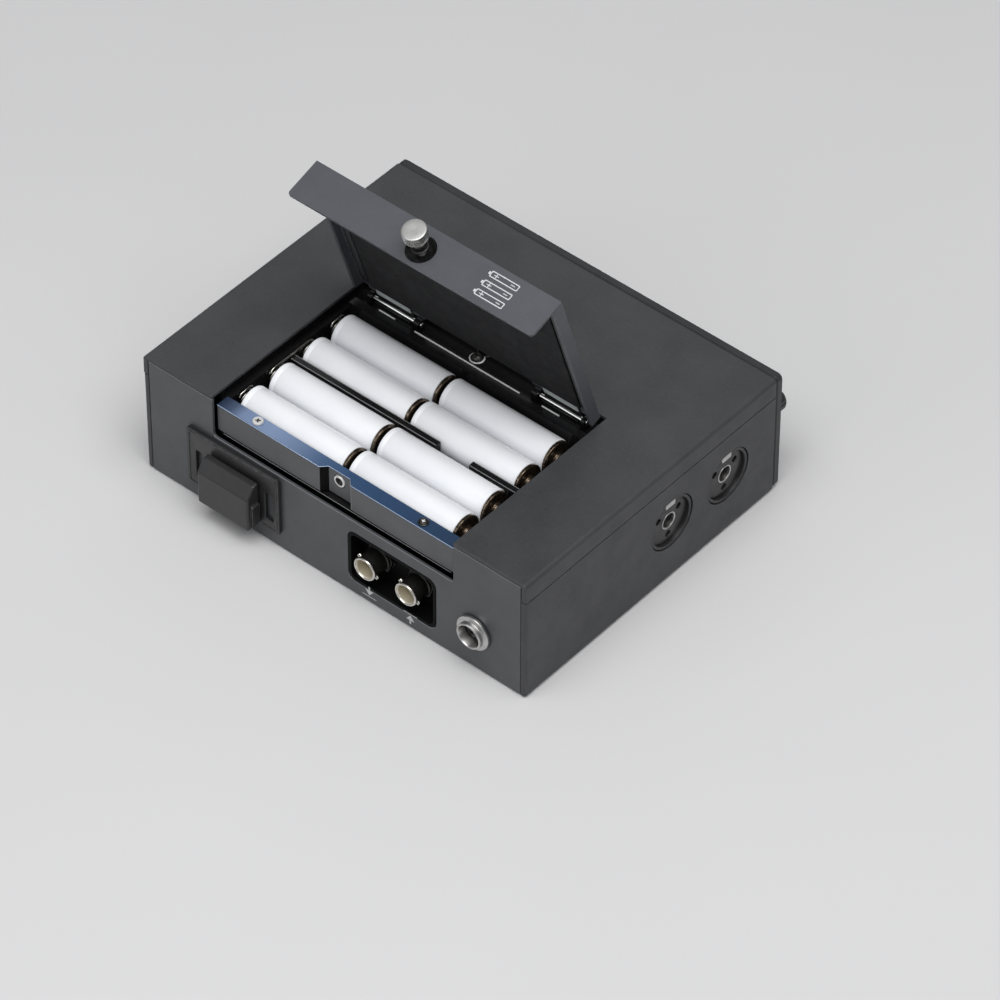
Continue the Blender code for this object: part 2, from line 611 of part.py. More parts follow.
door_pivot = lid_pivot()
battery_door(door_pivot)
battery_door_pad(door_pivot)
battery_thumbscrew(door_pivot)
hinge_rod("hinge_rod_left", -1)
hinge_rod("hinge_rod_right", 1)

bnc_bezel()
bnc_socket("timecode_in_socket", BNC_X[0])
bnc_socket("timecode_out_socket", BNC_X[1])
multipin_socket()
multipin_cap()
dc_socket()

display()
for entry in KNOBS:
    knob(*entry)
for entry in KEYS:
    key(*entry)
headphone_jack()

for number, (side, y) in enumerate(itertools.product(SIDES, JACK_Y), 1):
    input_jack(number, side, y)
card_door()
main_board()
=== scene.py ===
import json
import math
import random

import bmesh
import bpy
from mathutils import Matrix, Vector


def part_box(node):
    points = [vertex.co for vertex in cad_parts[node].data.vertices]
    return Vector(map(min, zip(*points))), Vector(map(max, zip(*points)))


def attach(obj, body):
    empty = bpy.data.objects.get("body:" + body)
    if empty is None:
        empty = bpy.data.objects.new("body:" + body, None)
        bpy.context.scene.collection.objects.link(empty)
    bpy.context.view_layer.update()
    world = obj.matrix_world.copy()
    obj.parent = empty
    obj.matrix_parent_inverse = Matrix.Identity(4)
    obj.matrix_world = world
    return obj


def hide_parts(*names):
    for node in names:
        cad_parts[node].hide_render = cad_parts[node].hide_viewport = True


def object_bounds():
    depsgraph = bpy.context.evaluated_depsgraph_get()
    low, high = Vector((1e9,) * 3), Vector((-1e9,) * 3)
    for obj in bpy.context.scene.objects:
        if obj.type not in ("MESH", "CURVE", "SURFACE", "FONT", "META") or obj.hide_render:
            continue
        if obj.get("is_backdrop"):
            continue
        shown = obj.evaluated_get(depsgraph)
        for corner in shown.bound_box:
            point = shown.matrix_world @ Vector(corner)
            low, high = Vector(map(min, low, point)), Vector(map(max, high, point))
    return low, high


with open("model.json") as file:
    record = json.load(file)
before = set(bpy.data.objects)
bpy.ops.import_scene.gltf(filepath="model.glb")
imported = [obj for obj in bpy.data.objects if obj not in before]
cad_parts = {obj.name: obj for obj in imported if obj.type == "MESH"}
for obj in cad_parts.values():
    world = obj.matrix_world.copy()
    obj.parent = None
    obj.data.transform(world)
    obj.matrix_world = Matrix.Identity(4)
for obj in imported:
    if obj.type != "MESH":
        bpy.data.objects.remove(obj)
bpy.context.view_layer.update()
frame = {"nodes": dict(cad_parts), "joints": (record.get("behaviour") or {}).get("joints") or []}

MM = 0.001
NODES = frame["nodes"]
COLL = bpy.context.scene.collection
rng = random.Random(7)

# ------------------------------------------------------------------ places
_door = next(j for j in frame["joints"] if j["name"] == "battery_door_hinge")
HINGE = Vector(_door["pos_m"]) / MM
OPEN = math.radians(-_door["range_deg"][0])
LID = Matrix.Translation(HINGE) @ Matrix.Rotation(OPEN, 4, 'X') @ Matrix.Translation(-HINGE)
LID_INV = LID.inverted()


def B(node):
    """Box of a CAD node in millimetres."""
    lo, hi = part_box(node)
    return lo / MM, hi / MM


def BL(node):
    """Box of a lid node in millimetres, with the lid shut."""
    co = [LID_INV @ (v.co / MM) for v in NODES[node].data.vertices]
    return (Vector((min(c.x for c in co), min(c.y for c in co), min(c.z for c in co))),
            Vector((max(c.x for c in co), max(c.y for c in co), max(c.z for c in co))))


# ------------------------------------------------------------------ materials
def _new(name):
    m = bpy.data.materials.new(name)
    m.use_nodes = True
    nt = m.node_tree
    nt.nodes.clear()
    out = nt.nodes.new("ShaderNodeOutputMaterial")
    b = nt.nodes.new("ShaderNodeBsdfPrincipled")
    nt.links.new(b.outputs[0], out.inputs[0])
    tc = nt.nodes.new("ShaderNodeTexCoord")
    return m, nt, b, tc


def _noise(nt, src, scale, detail=3.0, rough=0.55, stretch=None):
    n = nt.nodes.new("ShaderNodeTexNoise")
    n.inputs["Scale"].default_value = scale
    n.inputs["Detail"].default_value = detail
    n.inputs["Roughness"].default_value = rough
    if stretch:
        mp = nt.nodes.new("ShaderNodeMapping")
        mp.inputs["Scale"].default_value = stretch
        nt.links.new(src, mp.inputs[0])
        src = mp.outputs[0]
    nt.links.new(src, n.inputs["Vector"])
    return n.outputs["Fac"]


def _range(nt, src, a, b, lo=0.3, hi=0.7):
    r = nt.nodes.new("ShaderNodeMapRange")
    r.inputs["From Min"].default_value = lo
    r.inputs["From Max"].default_value = hi
    r.inputs["To Min"].default_value = a
    r.inputs["To Max"].default_value = b
    nt.links.new(src, r.inputs["Value"])
    return r.outputs[0]


def _mix(nt, fac, a, b):
    x = nt.nodes.new("ShaderNodeMix")
    x.data_type = 'RGBA'
    for sock, val in ((x.inputs["A"], a), (x.inputs["B"], b)):
        pass
    ins = [i for i in x.inputs if i.type == 'RGBA']
    for i, val in zip(ins, (a, b)):
        if hasattr(val, "is_linked") or hasattr(val, "links"):
            nt.links.new(val, i)
        else:
            i.default_value = (*val, 1)
    f = next(i for i in x.inputs if i.type == 'VALUE')
    if isinstance(fac, (int, float)):
        f.default_value = fac
    else:
        nt.links.new(fac, f)
    return next(o for o in x.outputs if o.type == 'RGBA')


def surface(name, col, col2, rough, metal=0.0, blotch=60.0, rough_scale=140.0, bumps=(), coat=0.0,
            coat_rough=0.1, edge_wear_and_highlight=None, spec=0.5, aniso=0.0, sub=0.0, trans=0.0, scratches=0.0, dust=0.0, emit=None):
    """A procedural finish: two tones, uneven roughness, bump layers, lighter edges (wear on the paints, a painted
    highlight on the cap and frame), fine scratches and dust.
    """
    m, nt, b, tc = _new(name)
    src = tc.outputs["Object"]
    c = _mix(nt, _range(nt, _noise(nt, src, blotch, 4), 0, 1), col, col2)
    r = _range(nt, _noise(nt, src, rough_scale, 5, 0.6), rough[0], rough[1], 0.25, 0.75)
    if scratches > 0:
        s1 = _noise(nt, src, 260.0, 2, 0.5, (1.0, 14.0, 3.0))
        s2 = _noise(nt, src, 240.0, 2, 0.5, (13.0, 1.0, 4.0))
        mx = nt.nodes.new("ShaderNodeMath")
        mx.operation = 'MAXIMUM'
        nt.links.new(s1, mx.inputs[0])
        nt.links.new(s2, mx.inputs[1])
        add = nt.nodes.new("ShaderNodeMath")
        add.operation = 'ADD'
        nt.links.new(r, add.inputs[0])
        nt.links.new(_range(nt, mx.outputs[0], 0.0, scratches, 0.66, 0.82), add.inputs[1])
        r = add.outputs[0]
    if dust > 0:
        geo = nt.nodes.new("ShaderNodeNewGeometry")
        sep = nt.nodes.new("ShaderNodeSeparateXYZ")
        nt.links.new(geo.outputs["Normal"], sep.inputs[0])
        mul = nt.nodes.new("ShaderNodeMath")
        mul.operation = 'MULTIPLY'
        nt.links.new(_range(nt, sep.outputs[2], 0, 1, 0.3, 1.0), mul.inputs[0])
        nt.links.new(_range(nt, _noise(nt, src, 900.0, 6, 0.75), 0, dust, 0.52, 0.8), mul.inputs[1])
        c = _mix(nt, mul.outputs[0], c, (0.42, 0.41, 0.39))
    # edge tint: wear on the paints and the front moulding, a painted highlight on the multipin cap and frame
    if edge_wear_and_highlight:
        bev = nt.nodes.new("ShaderNodeBevel")
        bev.samples = 4
        bev.inputs["Radius"].default_value = edge_wear_and_highlight[1] * MM
        geo2 = nt.nodes.new("ShaderNodeNewGeometry")
        dot = nt.nodes.new("ShaderNodeVectorMath")
        dot.operation = 'DOT_PRODUCT'
        nt.links.new(bev.outputs[0], dot.inputs[0])
        nt.links.new(geo2.outputs["Normal"], dot.inputs[1])
        edge = _range(nt, dot.outputs["Value"], 1, 0, 0.80, 0.985)
        nz = _range(nt, _noise(nt, src, 420.0, 5, 0.7), 0, edge_wear_and_highlight[2], 0.42, 0.66)
        mu = nt.nodes.new("ShaderNodeMath")
        mu.operation = 'MULTIPLY'
        nt.links.new(edge, mu.inputs[0])
        nt.links.new(nz, mu.inputs[1])
        c = _mix(nt, mu.outputs[0], c, edge_wear_and_highlight[0])
    nt.links.new(c, b.inputs["Base Color"])
    nt.links.new(r, b.inputs["Roughness"])
    b.inputs["Metallic"].default_value = metal
    b.inputs["Coat Weight"].default_value = coat
    b.inputs["Coat Roughness"].default_value = coat_rough
    b.inputs["Specular IOR Level"].default_value = spec
    b.inputs["Anisotropic"].default_value = aniso
    if sub:
        b.inputs["Subsurface Weight"].default_value = sub
        b.inputs["Subsurface Radius"].default_value = (0.0012, 0.0011, 0.001)
    if trans:
        b.inputs["Transmission Weight"].default_value = trans
    if emit:
        b.inputs["Emission Color"].default_value = (*emit[0], 1)
        b.inputs["Emission Strength"].default_value = emit[1]
    last = None
    for kind, scale, dist, stretch in bumps:
        bp = nt.nodes.new("ShaderNodeBump")
        bp.inputs["Strength"].default_value = 1.0
        bp.inputs["Distance"].default_value = dist * MM
        if kind == 'cells':
            v = nt.nodes.new("ShaderNodeTexVoronoi")
            v.inputs["Scale"].default_value = scale
            nt.links.new(src, v.inputs["Vector"])
            h = v.outputs["Distance"]
        else:
            h = _noise(nt, src, scale, 4, 0.6, stretch)
        nt.links.new(h, bp.inputs["Height"])
        if last:
            nt.links.new(last, bp.inputs["Normal"])
        last = bp.outputs[0]
    if last:
        nt.links.new(last, b.inputs["Normal"])
        nt.links.new(last, b.inputs["Coat Normal"])
    return m


WORN = ((0.30, 0.30, 0.30), 0.35, 0.55)
PAINT = surface("powder_coat_black", (0.034, 0.035, 0.038), (0.044, 0.045, 0.048), (0.42, 0.56), 0.0,
                bumps=(('noise', 2600.0, 0.020, None), ('cells', 1900.0, 0.018, None)), edge_wear_and_highlight=WORN, spec=0.45, dust=0.06)
PAINT_LID = surface("powder_coat_grey", (0.066, 0.069, 0.080), (0.075, 0.078, 0.089), (0.36, 0.50), 0.0,
                    bumps=(('noise', 2600.0, 0.018, None), ('cells', 2100.0, 0.015, None)), edge_wear_and_highlight=((0.36, 0.36, 0.36), 0.3, 0.4), spec=0.5, dust=0.05)
PAINT_REAR = surface("powder_coat_rear", (0.050, 0.053, 0.058), (0.062, 0.065, 0.070), (0.34, 0.48), 0.0,
                     bumps=(('noise', 2600.0, 0.018, None), ('cells', 2100.0, 0.015, None)), edge_wear_and_highlight=WORN, spec=0.55, dust=0.05)
# navy of the rail's top face: painted reflection of a blue surround; a painted reflection gradient along the strip is
# mixed in below
RAIL_BLUE = surface("rail_top_painted_reflection", (0.030, 0.064, 0.130), (0.036, 0.074, 0.150), (0.26, 0.38), 0.25,
                    bumps=(('noise', 1800.0, 0.008, None),), spec=0.35)
RAIL_GREY = surface("rail_skirt_paint", (0.082, 0.084, 0.090), (0.096, 0.098, 0.104), (0.36, 0.48), 0.0,
                    bumps=(('noise', 2400.0, 0.012, None), ('cells', 2000.0, 0.010, None)), spec=0.4)
# dark finish for the line along the rail's front edge; its painted highlight is mixed in below
RAIL_EDGE = surface("rail_edge_painted_highlight", (0.016, 0.019, 0.026), (0.024, 0.027, 0.034), (0.22, 0.32), 0.2,
                    bumps=(('noise', 1800.0, 0.004, None),), spec=0.5)
FRONT = surface("front_moulding", (0.020, 0.021, 0.023), (0.027, 0.028, 0.030), (0.38, 0.52), 0.0,
                bumps=(('cells', 2400.0, 0.02, None), ('noise', 900.0, 0.012, None)), edge_wear_and_highlight=((0.11, 0.11, 0.11), 0.3, 0.5), spec=0.45)
GLOSS = surface("gloss_black_moulding", (0.006, 0.006, 0.007), (0.010, 0.010, 0.010), (0.16, 0.28), 0.0,
                bumps=(('noise', 120.0, 0.02, None),), scratches=0.15, dust=0.02, spec=0.32)
POCKET = surface("deep_black_pocket", (0.004, 0.004, 0.004), (0.006, 0.006, 0.006), (0.30, 0.44), 0.0,
                 bumps=(('noise', 160.0, 0.012, None),), scratches=0.1, spec=0.04)
SATIN_BLACK = surface("satin_black_moulding", (0.012, 0.012, 0.013), (0.019, 0.019, 0.020), (0.30, 0.46), 0.0,
                      bumps=(('noise', 1500.0, 0.012, None),), spec=0.5, dust=0.08)
FOAM = surface("lid_foam", (0.016, 0.016, 0.017), (0.026, 0.026, 0.027), (0.72, 0.92), 0.0, blotch=240.0,
               bumps=(('cells', 900.0, 0.10, None), ('noise', 2200.0, 0.06, None)), spec=0.25)
RUBBER = surface("matte_rubber", (0.020, 0.020, 0.021), (0.028, 0.028, 0.029), (0.52, 0.68), 0.0,
                 bumps=(('noise', 1700.0, 0.02, None),), spec=0.35, dust=0.12)
# the light edge tint of the cap and the frame is a painted highlight
CAP = surface("cap_moulding", (0.017, 0.017, 0.018), (0.023, 0.023, 0.024), (0.30, 0.42), 0.0,
              bumps=(('noise', 1500.0, 0.014, None),), edge_wear_and_highlight=((0.17, 0.17, 0.175), 0.5, 1.3), spec=0.5)
FRAME = surface("frame_moulding", (0.016, 0.016, 0.017), (0.022, 0.022, 0.023), (0.30, 0.42), 0.0,
                bumps=(('noise', 1500.0, 0.012, None),), edge_wear_and_highlight=((0.14, 0.14, 0.145), 0.35, 1.2), spec=0.5)
CAP_LATCH = surface("latch_moulding", (0.16, 0.16, 0.165), (0.20, 0.20, 0.205), (0.32, 0.45), 0.0,
                    bumps=(('noise', 1500.0, 0.012, None),), spec=0.5)
KEYS = surface("silicone_keys", (0.050, 0.051, 0.055), (0.062, 0.063, 0.067), (0.42, 0.56), 0.0,
               bumps=(('noise', 1900.0, 0.015, None),), spec=0.4, sub=0.05)
NICKEL = surface("bright_nickel", (0.70, 0.68, 0.64), (0.60, 0.58, 0.545), (0.16, 0.28), 1.0, blotch=300.0,
                 bumps=(('noise', 700.0, 0.006, (1, 1, 10)),), scratches=0.20)
NICKEL_SATIN = surface("satin_nickel", (0.56, 0.55, 0.52), (0.49, 0.48, 0.455), (0.34, 0.46), 1.0, blotch=300.0,
                       bumps=(('noise', 2400.0, 0.010, None),), scratches=0.12)
TUBE = surface("warm_turned_nickel", (0.74, 0.69, 0.57), (0.64, 0.59, 0.48), (0.34, 0.46), 0.55, blotch=500.0,
               bumps=(('noise', 900.0, 0.010, (1, 14, 1)),))
CHROME = surface("polished_chrome", (0.90, 0.90, 0.89), (0.84, 0.84, 0.83), (0.06, 0.12), 1.0, blotch=300.0,
                 bumps=(('noise', 900.0, 0.002, (14, 1, 1)),), scratches=0.10)
WARM_TOP = surface("faced_nickel", (0.56, 0.56, 0.55), (0.49, 0.49, 0.48), (0.42, 0.54), 1.0, blotch=900.0,
                   bumps=(('noise', 2600.0, 0.008, None),), scratches=0.10, dust=0.05)
# darker knurl nickel: painted shade on the side of the thumbscrew head
KNURL = surface("knurled_nickel_painted_shade", (0.52, 0.51, 0.49), (0.42, 0.415, 0.40), (0.20, 0.32), 1.0, blotch=700.0,
                bumps=(('noise', 1800.0, 0.006, None),))
# light finishes for thin lines along edges, which are painted highlights
EDGE_SOFT = surface("soft_edge_painted_highlight", (0.22, 0.22, 0.225), (0.17, 0.17, 0.175), (0.24, 0.36), 0.2, blotch=500.0,
                    bumps=(('noise', 1500.0, 0.004, (9, 1, 1)),), coat=0.3)
EDGE_LIGHT = surface("bright_edge_painted_highlight", (0.80, 0.80, 0.79), (0.70, 0.70, 0.69), (0.22, 0.34), 0.3, blotch=500.0,
                     bumps=(('noise', 1500.0, 0.004, (9, 1, 1)),), coat=0.4)
BRIGHT_FLAT = surface("bright_zinc_face", (0.78, 0.78, 0.77), (0.68, 0.68, 0.67), (0.45, 0.58), 0.55, blotch=900.0,
                      bumps=(('noise', 2600.0, 0.004, None),), scratches=0.1)
# near-black metal: a blackened finish on the collar and gutter screw, painted shade in recesses, bores and socket
# barrels
NUT_BLACK = surface("blackened_metal_and_painted_shade", (0.035, 0.034, 0.033), (0.055, 0.053, 0.050), (0.26, 0.40), 0.8, blotch=600.0,
                    bumps=(('noise', 900.0, 0.008, None),))
NICKEL_DARK = surface("shadowed_nickel", (0.20, 0.195, 0.19), (0.13, 0.125, 0.12), (0.22, 0.36), 1.0, blotch=300.0,
                      bumps=(('noise', 900.0, 0.008, None),))
STEEL = surface("zinc_steel", (0.58, 0.57, 0.56), (0.46, 0.455, 0.45), (0.24, 0.40), 1.0, blotch=420.0,
                bumps=(('noise', 1500.0, 0.006, (8, 1, 1)),), scratches=0.15)
# light grey-green of the hinge leaf plates: painted reflection of the white cells
LEAF = surface("leaf_painted_reflection", (0.66, 0.72, 0.70), (0.56, 0.62, 0.60), (0.34, 0.46), 0.1, blotch=300.0,
               bumps=(('noise', 1500.0, 0.008, (8, 1, 1)),), scratches=0.1)
# darker than the bright nickel: painted shade on the springs and contacts at the ends of the bay
SPRING = surface("spring_nickel_painted_shade", (0.50, 0.49, 0.46), (0.36, 0.35, 0.33), (0.16, 0.30), 1.0, blotch=500.0,
                 bumps=(('noise', 1200.0, 0.005, (1, 9, 1)),))
SLEEVE = surface("cell_sleeve", (0.815, 0.828, 0.855), (0.785, 0.800, 0.832), (0.32, 0.46), 0.0, blotch=95.0,
                 bumps=(('noise', 260.0, 0.012, (1, 3, 3)),), coat=0.25, coat_rough=0.22, sub=0.03, spec=0.5)
CAN = surface("cell_can", (0.030, 0.022, 0.016), (0.24, 0.185, 0.135), (0.14, 0.30), 0.9, blotch=900.0,
              bumps=(('noise', 900.0, 0.012, None),))
PTFE = surface("cream_insulator", (0.62, 0.57, 0.44), (0.70, 0.65, 0.52), (0.32, 0.46), 0.0, bumps=(('noise', 1500.0, 0.01, None),), sub=0.1)
PRINT = surface("pale_print", (0.58, 0.59, 0.60), (0.50, 0.51, 0.52), (0.5, 0.62), 0.0, bumps=(('noise', 3000.0, 0.006, None),))
PRINT_RED = surface("red_print", (0.55, 0.030, 0.022), (0.45, 0.025, 0.020), (0.42, 0.55), 0.0, bumps=(('noise', 3000.0, 0.006, None),))
GOLD = surface("gold_contact", (0.83, 0.62, 0.26), (0.74, 0.53, 0.20), (0.18, 0.30), 1.0, bumps=(('noise', 1500.0, 0.004, None),))
PCB = surface("solder_mask", (0.010, 0.060, 0.034), (0.014, 0.080, 0.045), (0.28, 0.42), 0.0, blotch=500.0, bumps=(('cells', 900.0, 0.03, None),), coat=0.3)
CHIP = surface("chip_epoxy", (0.018, 0.018, 0.019), (0.026, 0.026, 0.027), (0.5, 0.62), 0.0, bumps=(('noise', 2200.0, 0.012, None),))
LCD = surface("display_glass_cell", (0.008, 0.010, 0.013), (0.010, 0.013, 0.017), (0.10, 0.18), 0.0, bumps=(('noise', 90.0, 0.004, None),), emit=((0.05, 0.10, 0.16), 0.05))


def glow(name, col, power):
    return surface(name, col, tuple(c * 0.85 for c in col), (0.3, 0.4), bumps=(('noise', 900.0, 0.003, None),), emit=(col, power))


LIT_GREEN = glow("lit_green", (0.06, 0.75, 0.22), 1.6)
LIT_AMBER = glow("lit_amber", (0.90, 0.48, 0.06), 1.6)
LIT_RED = glow("lit_red", (0.9, 0.07, 0.04), 1.4)
LIT_WHITE = glow("lit_white", (0.75, 0.80, 0.85), 1.1)
LENS = surface("clear_window", (0.9, 0.92, 0.94), (0.88, 0.90, 0.92), (0.01, 0.03), 0.0, bumps=(('noise', 40.0, 0.0004, None),), trans=0.97, scratches=0.01)


def principled(m):
    return next(n for n in m.node_tree.nodes if n.type == 'BSDF_PRINCIPLED')


def painted_reflection_along_x(m, stops, amount=0.85):
    """Painted reflection: the base colour drifts from steel blue to navy along the strip's length, standing in for the
    light the satin strip reflects; stops are (x in mm, colour).
    """
    nt, b = m.node_tree, principled(m)
    base = b.inputs["Base Color"].links[0].from_socket
    tc = nt.nodes.new("ShaderNodeTexCoord")
    sep = nt.nodes.new("ShaderNodeSeparateXYZ")
    nt.links.new(tc.outputs["Object"], sep.inputs[0])
    x0, x1 = stops[0][0] * MM, stops[-1][0] * MM
    pos = _range(nt, sep.outputs[0], 0.0, 1.0, x0, x1)
    ramp = nt.nodes.new("ShaderNodeValToRGB")
    el = ramp.color_ramp.elements
    el[0].position, el[0].color = 0.0, (*stops[0][1], 1)
    el[1].position, el[1].color = 1.0, (*stops[-1][1], 1)
    for x, c in stops[1:-1]:
        e = el.new((x * MM - x0) / (x1 - x0))
        e.color = (*c, 1)
    nt.links.new(pos, ramp.inputs[0])
    nt.links.new(_mix(nt, amount, base, ramp.outputs[0]), b.inputs["Base Color"])


def painted_highlight_top_edge(m, col):
    """Painted highlight: faces whose true normal points up and outward, such as the long upper outside edge, are mixed
    towards a light colour; the other edges stay dark.
    """
    nt, b = m.node_tree, principled(m)
    base = b.inputs["Base Color"].links[0].from_socket
    geo = nt.nodes.new("ShaderNodeNewGeometry")
    sep = nt.nodes.new("ShaderNodeSeparateXYZ")
    nt.links.new(geo.outputs["True Normal"], sep.inputs[0])
    mul = nt.nodes.new("ShaderNodeMath")
    mul.operation = 'MULTIPLY'
    nt.links.new(sep.outputs[1], mul.inputs[0])
    nt.links.new(sep.outputs[2], mul.inputs[1])
    nt.links.new(_mix(nt, _range(nt, mul.outputs[0], 0.0, 1.0, 0.12, 0.26), base, col), b.inputs["Base Color"])


# painted reflection: the rail's top runs from navy to steel blue and back along its length
painted_reflection_along_x(RAIL_BLUE, ((-57, (0.028, 0.052, 0.098)), (-30, (0.034, 0.070, 0.145)), (-4, (0.042, 0.088, 0.185)), (8, (0.070, 0.125, 0.235)),
                          (20, (0.16, 0.23, 0.37)), (32, (0.23, 0.31, 0.48)), (45, (0.19, 0.26, 0.41)), (50, (0.055, 0.080, 0.135)), (57, (0.020, 0.030, 0.062))), 0.9)
# painted highlights on the upper outside edges of the rail's edge line and of the rear panel
painted_highlight_top_edge(RAIL_EDGE, (0.36, 0.48, 0.70))
painted_highlight_top_edge(PAINT_REAR, (0.150, 0.156, 0.170))


# ------------------------------------------------------------------ shapes (all in millimetres)
def rounded(pts, closed=True, n=4):
    """Outline or profile whose points may carry a corner radius as a third value."""
    out, m = [], len(pts)
    for i, p in enumerate(pts):
        r = p[2] if len(p) > 2 else 0.0
        if r <= 0 or (not closed and i in (0, m - 1)):
            out.append((p[0], p[1]))
            continue
        a, b, c = Vector(pts[i - 1][:2]), Vector(p[:2]), Vector(pts[(i + 1) % m][:2])
        d1, d2 = (a - b), (c - b)
        l1, l2 = d1.length, d2.length
        d1.normalize()
        d2.normalize()
        ang = max(1e-4, math.acos(max(-1, min(1, d1.dot(d2)))))
        if ang > math.pi - 1e-3:
            out.append((p[0], p[1]))
            continue
        t = min(r / math.tan(ang / 2), l1 * 0.49, l2 * 0.49)
        r2 = t * math.tan(ang / 2)
        cen = b + (d1 + d2).normalized() * (r2 / math.sin(ang / 2))
        v1, v2 = b + d1 * t - cen, b + d2 * t - cen
        a1, a2 = math.atan2(v1.y, v1.x), math.atan2(v2.y, v2.x)
        da = (a2 - a1 + math.pi) % (2 * math.pi) - math.pi
        for k in range(n + 1):
            t1 = a1 + da * k / n
            out.append((cen.x + r2 * math.cos(t1), cen.y + r2 * math.sin(t1)))
    return out


def rrect(x0, x1, y0, y1, r, n=5):
    return rounded([(x0, y0, r), (x1, y0, r), (x1, y1, r), (x0, y1, r)], True, n)


def disc(cx, cy, r, n=32):
    return [(cx + r * math.cos(2 * math.pi * k / n), cy + r * math.sin(2 * math.pi * k / n)) for k in range(n)]


def to_bm(me):
    bm = bmesh.new()
    bm.from_mesh(me)
    bpy.data.meshes.remove(me)
    return bm


def evaluated(ob):
    bpy.context.view_layer.update()
    dg = bpy.context.evaluated_depsgraph_get()
    return bpy.data.meshes.new_from_object(ob.evaluated_get(dg))


def plate(loops, z0, z1, bev=0.15, seg=2):
    """A flat outline with holes, from z0 to z1, with rounded rims all round."""
    cu = bpy.data.curves.new("tmp", 'CURVE')
    cu.dimensions = '2D'
    cu.fill_mode = 'BOTH'
    cu.extrude = max(0.0, (z1 - z0) / 2 - bev)
    cu.bevel_depth = bev
    cu.bevel_resolution = seg
    cu.offset = -bev
    for loop in loops:
        s = cu.splines.new('POLY')
        s.points.add(len(loop) - 1)
        for p, q in zip(s.points, loop):
            p.co = (q[0], q[1], 0, 1)
        s.use_cyclic_u = True
    ob = bpy.data.objects.new("tmp", cu)
    COLL.objects.link(ob)
    me = evaluated(ob)
    bpy.data.objects.remove(ob)
    bpy.data.curves.remove(cu)
    bm = to_bm(me)
    bmesh.ops.remove_doubles(bm, verts=bm.verts, dist=0.0005)
    bmesh.ops.recalc_face_normals(bm, faces=bm.faces)
    bmesh.ops.translate(bm, verts=bm.verts, vec=(0, 0, (z0 + z1) / 2))
    return bm


FACING = {  # local X, Y, Z of a flat shape, in the world
    '+z': Matrix.Identity(4),
    '-z': Matrix(((1, 0, 0, 0), (0, -1, 0, 0), (0, 0, -1, 0), (0, 0, 0, 1))),
    '-y': Matrix(((1, 0, 0, 0), (0, 0, -1, 0), (0, 1, 0, 0), (0, 0, 0, 1))),    # X right, Z up, out of the front
    '+y': Matrix(((1, 0, 0, 0), (0, 0, 1, 0), (0, 1, 0, 0), (0, 0, 0, 1))),     # X, Z, out of the rear (mirrored: recalculated)
    '+x': Matrix(((0, 0, 1, 0), (1, 0, 0, 0), (0, 1, 0, 0), (0, 0, 0, 1))),     # Y, Z, out of +X
    '-x': Matrix(((0, 0, -1, 0), (1, 0, 0, 0), (0, 1, 0, 0), (0, 0, 0, 1))),
}


def face(bm, way):
    bmesh.ops.transform(bm, matrix=FACING[way], verts=bm.verts)
    bmesh.ops.recalc_face_normals(bm, faces=bm.faces)
    return bm


def lathe(profile, n=64, mod=None):
    """Turns (radius, height) points about +Z; mod changes the radius with angle and height."""
    bm = bmesh.new()
    rings = []
    for r, h in profile:
        if r < 1e-6:
            rings.append([bm.verts.new((0, 0, h))])
        else:
            ring = []
            for k in range(n):
                a = 2 * math.pi * k / n
                q = r + (mod(a, r, h, k) if mod else 0.0)
                ring.append(bm.verts.new((q * math.cos(a), q * math.sin(a), h)))
            rings.append(ring)
    for a, b in zip(rings, rings[1:]):
        if len(a) == 1 and len(b) == 1:
            continue
        for k in range(n):
            j = (k + 1) % n
            if len(a) == 1:
                bm.faces.new((a[0], b[k], b[j]))
            elif len(b) == 1:
                bm.faces.new((a[k], b[0], a[j]))
            else:
                bm.faces.new((a[k], b[k], b[j], a[j]))
    bmesh.ops.recalc_face_normals(bm, faces=bm.faces)
    return bm


def ring(profile, n=64, mod=None):
    """A turned ring: the profile closes on itself."""
    bm = lathe(list(profile) + [profile[0]], n, mod)
    bmesh.ops.remove_doubles(bm, verts=bm.verts, dist=1e-5)
    bmesh.ops.recalc_face_normals(bm, faces=bm.faces)
    return bm


AXIS = {'+z': Matrix.Identity(4), '-z': Matrix.Rotation(math.pi, 4, 'X'), '+y': Matrix.Rotation(-math.pi / 2, 4, 'X'),
        '-y': Matrix.Rotation(math.pi / 2, 4, 'X'), '+x': Matrix.Rotation(math.pi / 2, 4, 'Y'), '-x': Matrix.Rotation(-math.pi / 2, 4, 'Y')}


def aim(bm, way, at):
    bmesh.ops.transform(bm, matrix=Matrix.Translation(at) @ AXIS[way], verts=bm.verts)
    return bm


def block(x0, x1, y0, y1, z0, z1, r=0.25, seg=2):
    bm = bmesh.new()
    bmesh.ops.create_cube(bm, size=1.0)
    for v in bm.verts:
        v.co = Vector(((x0 + x1) / 2 + v.co.x * (x1 - x0), (y0 + y1) / 2 + v.co.y * (y1 - y0), (z0 + z1) / 2 + v.co.z * (z1 - z0)))
    if r > 0:
        bmesh.ops.bevel(bm, geom=bm.edges[:], offset=r, offset_type='OFFSET', segments=seg, profile=0.5, affect='EDGES', clamp_overlap=True)
    return bm


def edges(bm, r, seg, test):
    pick = []
    for e in bm.edges:
        a, b = e.verts[0].co, e.verts[1].co
        if test((a + b) / 2, (b - a).normalized()):
            pick.append(e)
    bmesh.ops.bevel(bm, geom=pick, offset=r, offset_type='OFFSET', segments=seg, profile=0.5, affect='EDGES', clamp_overlap=True)
    return bm


def merge(*bms):
    """Several closed shapes in one mesh."""
    out = bmesh.new()
    for bm in bms:
        me = bpy.data.meshes.new("tmp")
        bm.to_mesh(me)
        bm.free()
        out.from_mesh(me)
        bpy.data.meshes.remove(me)
    return out


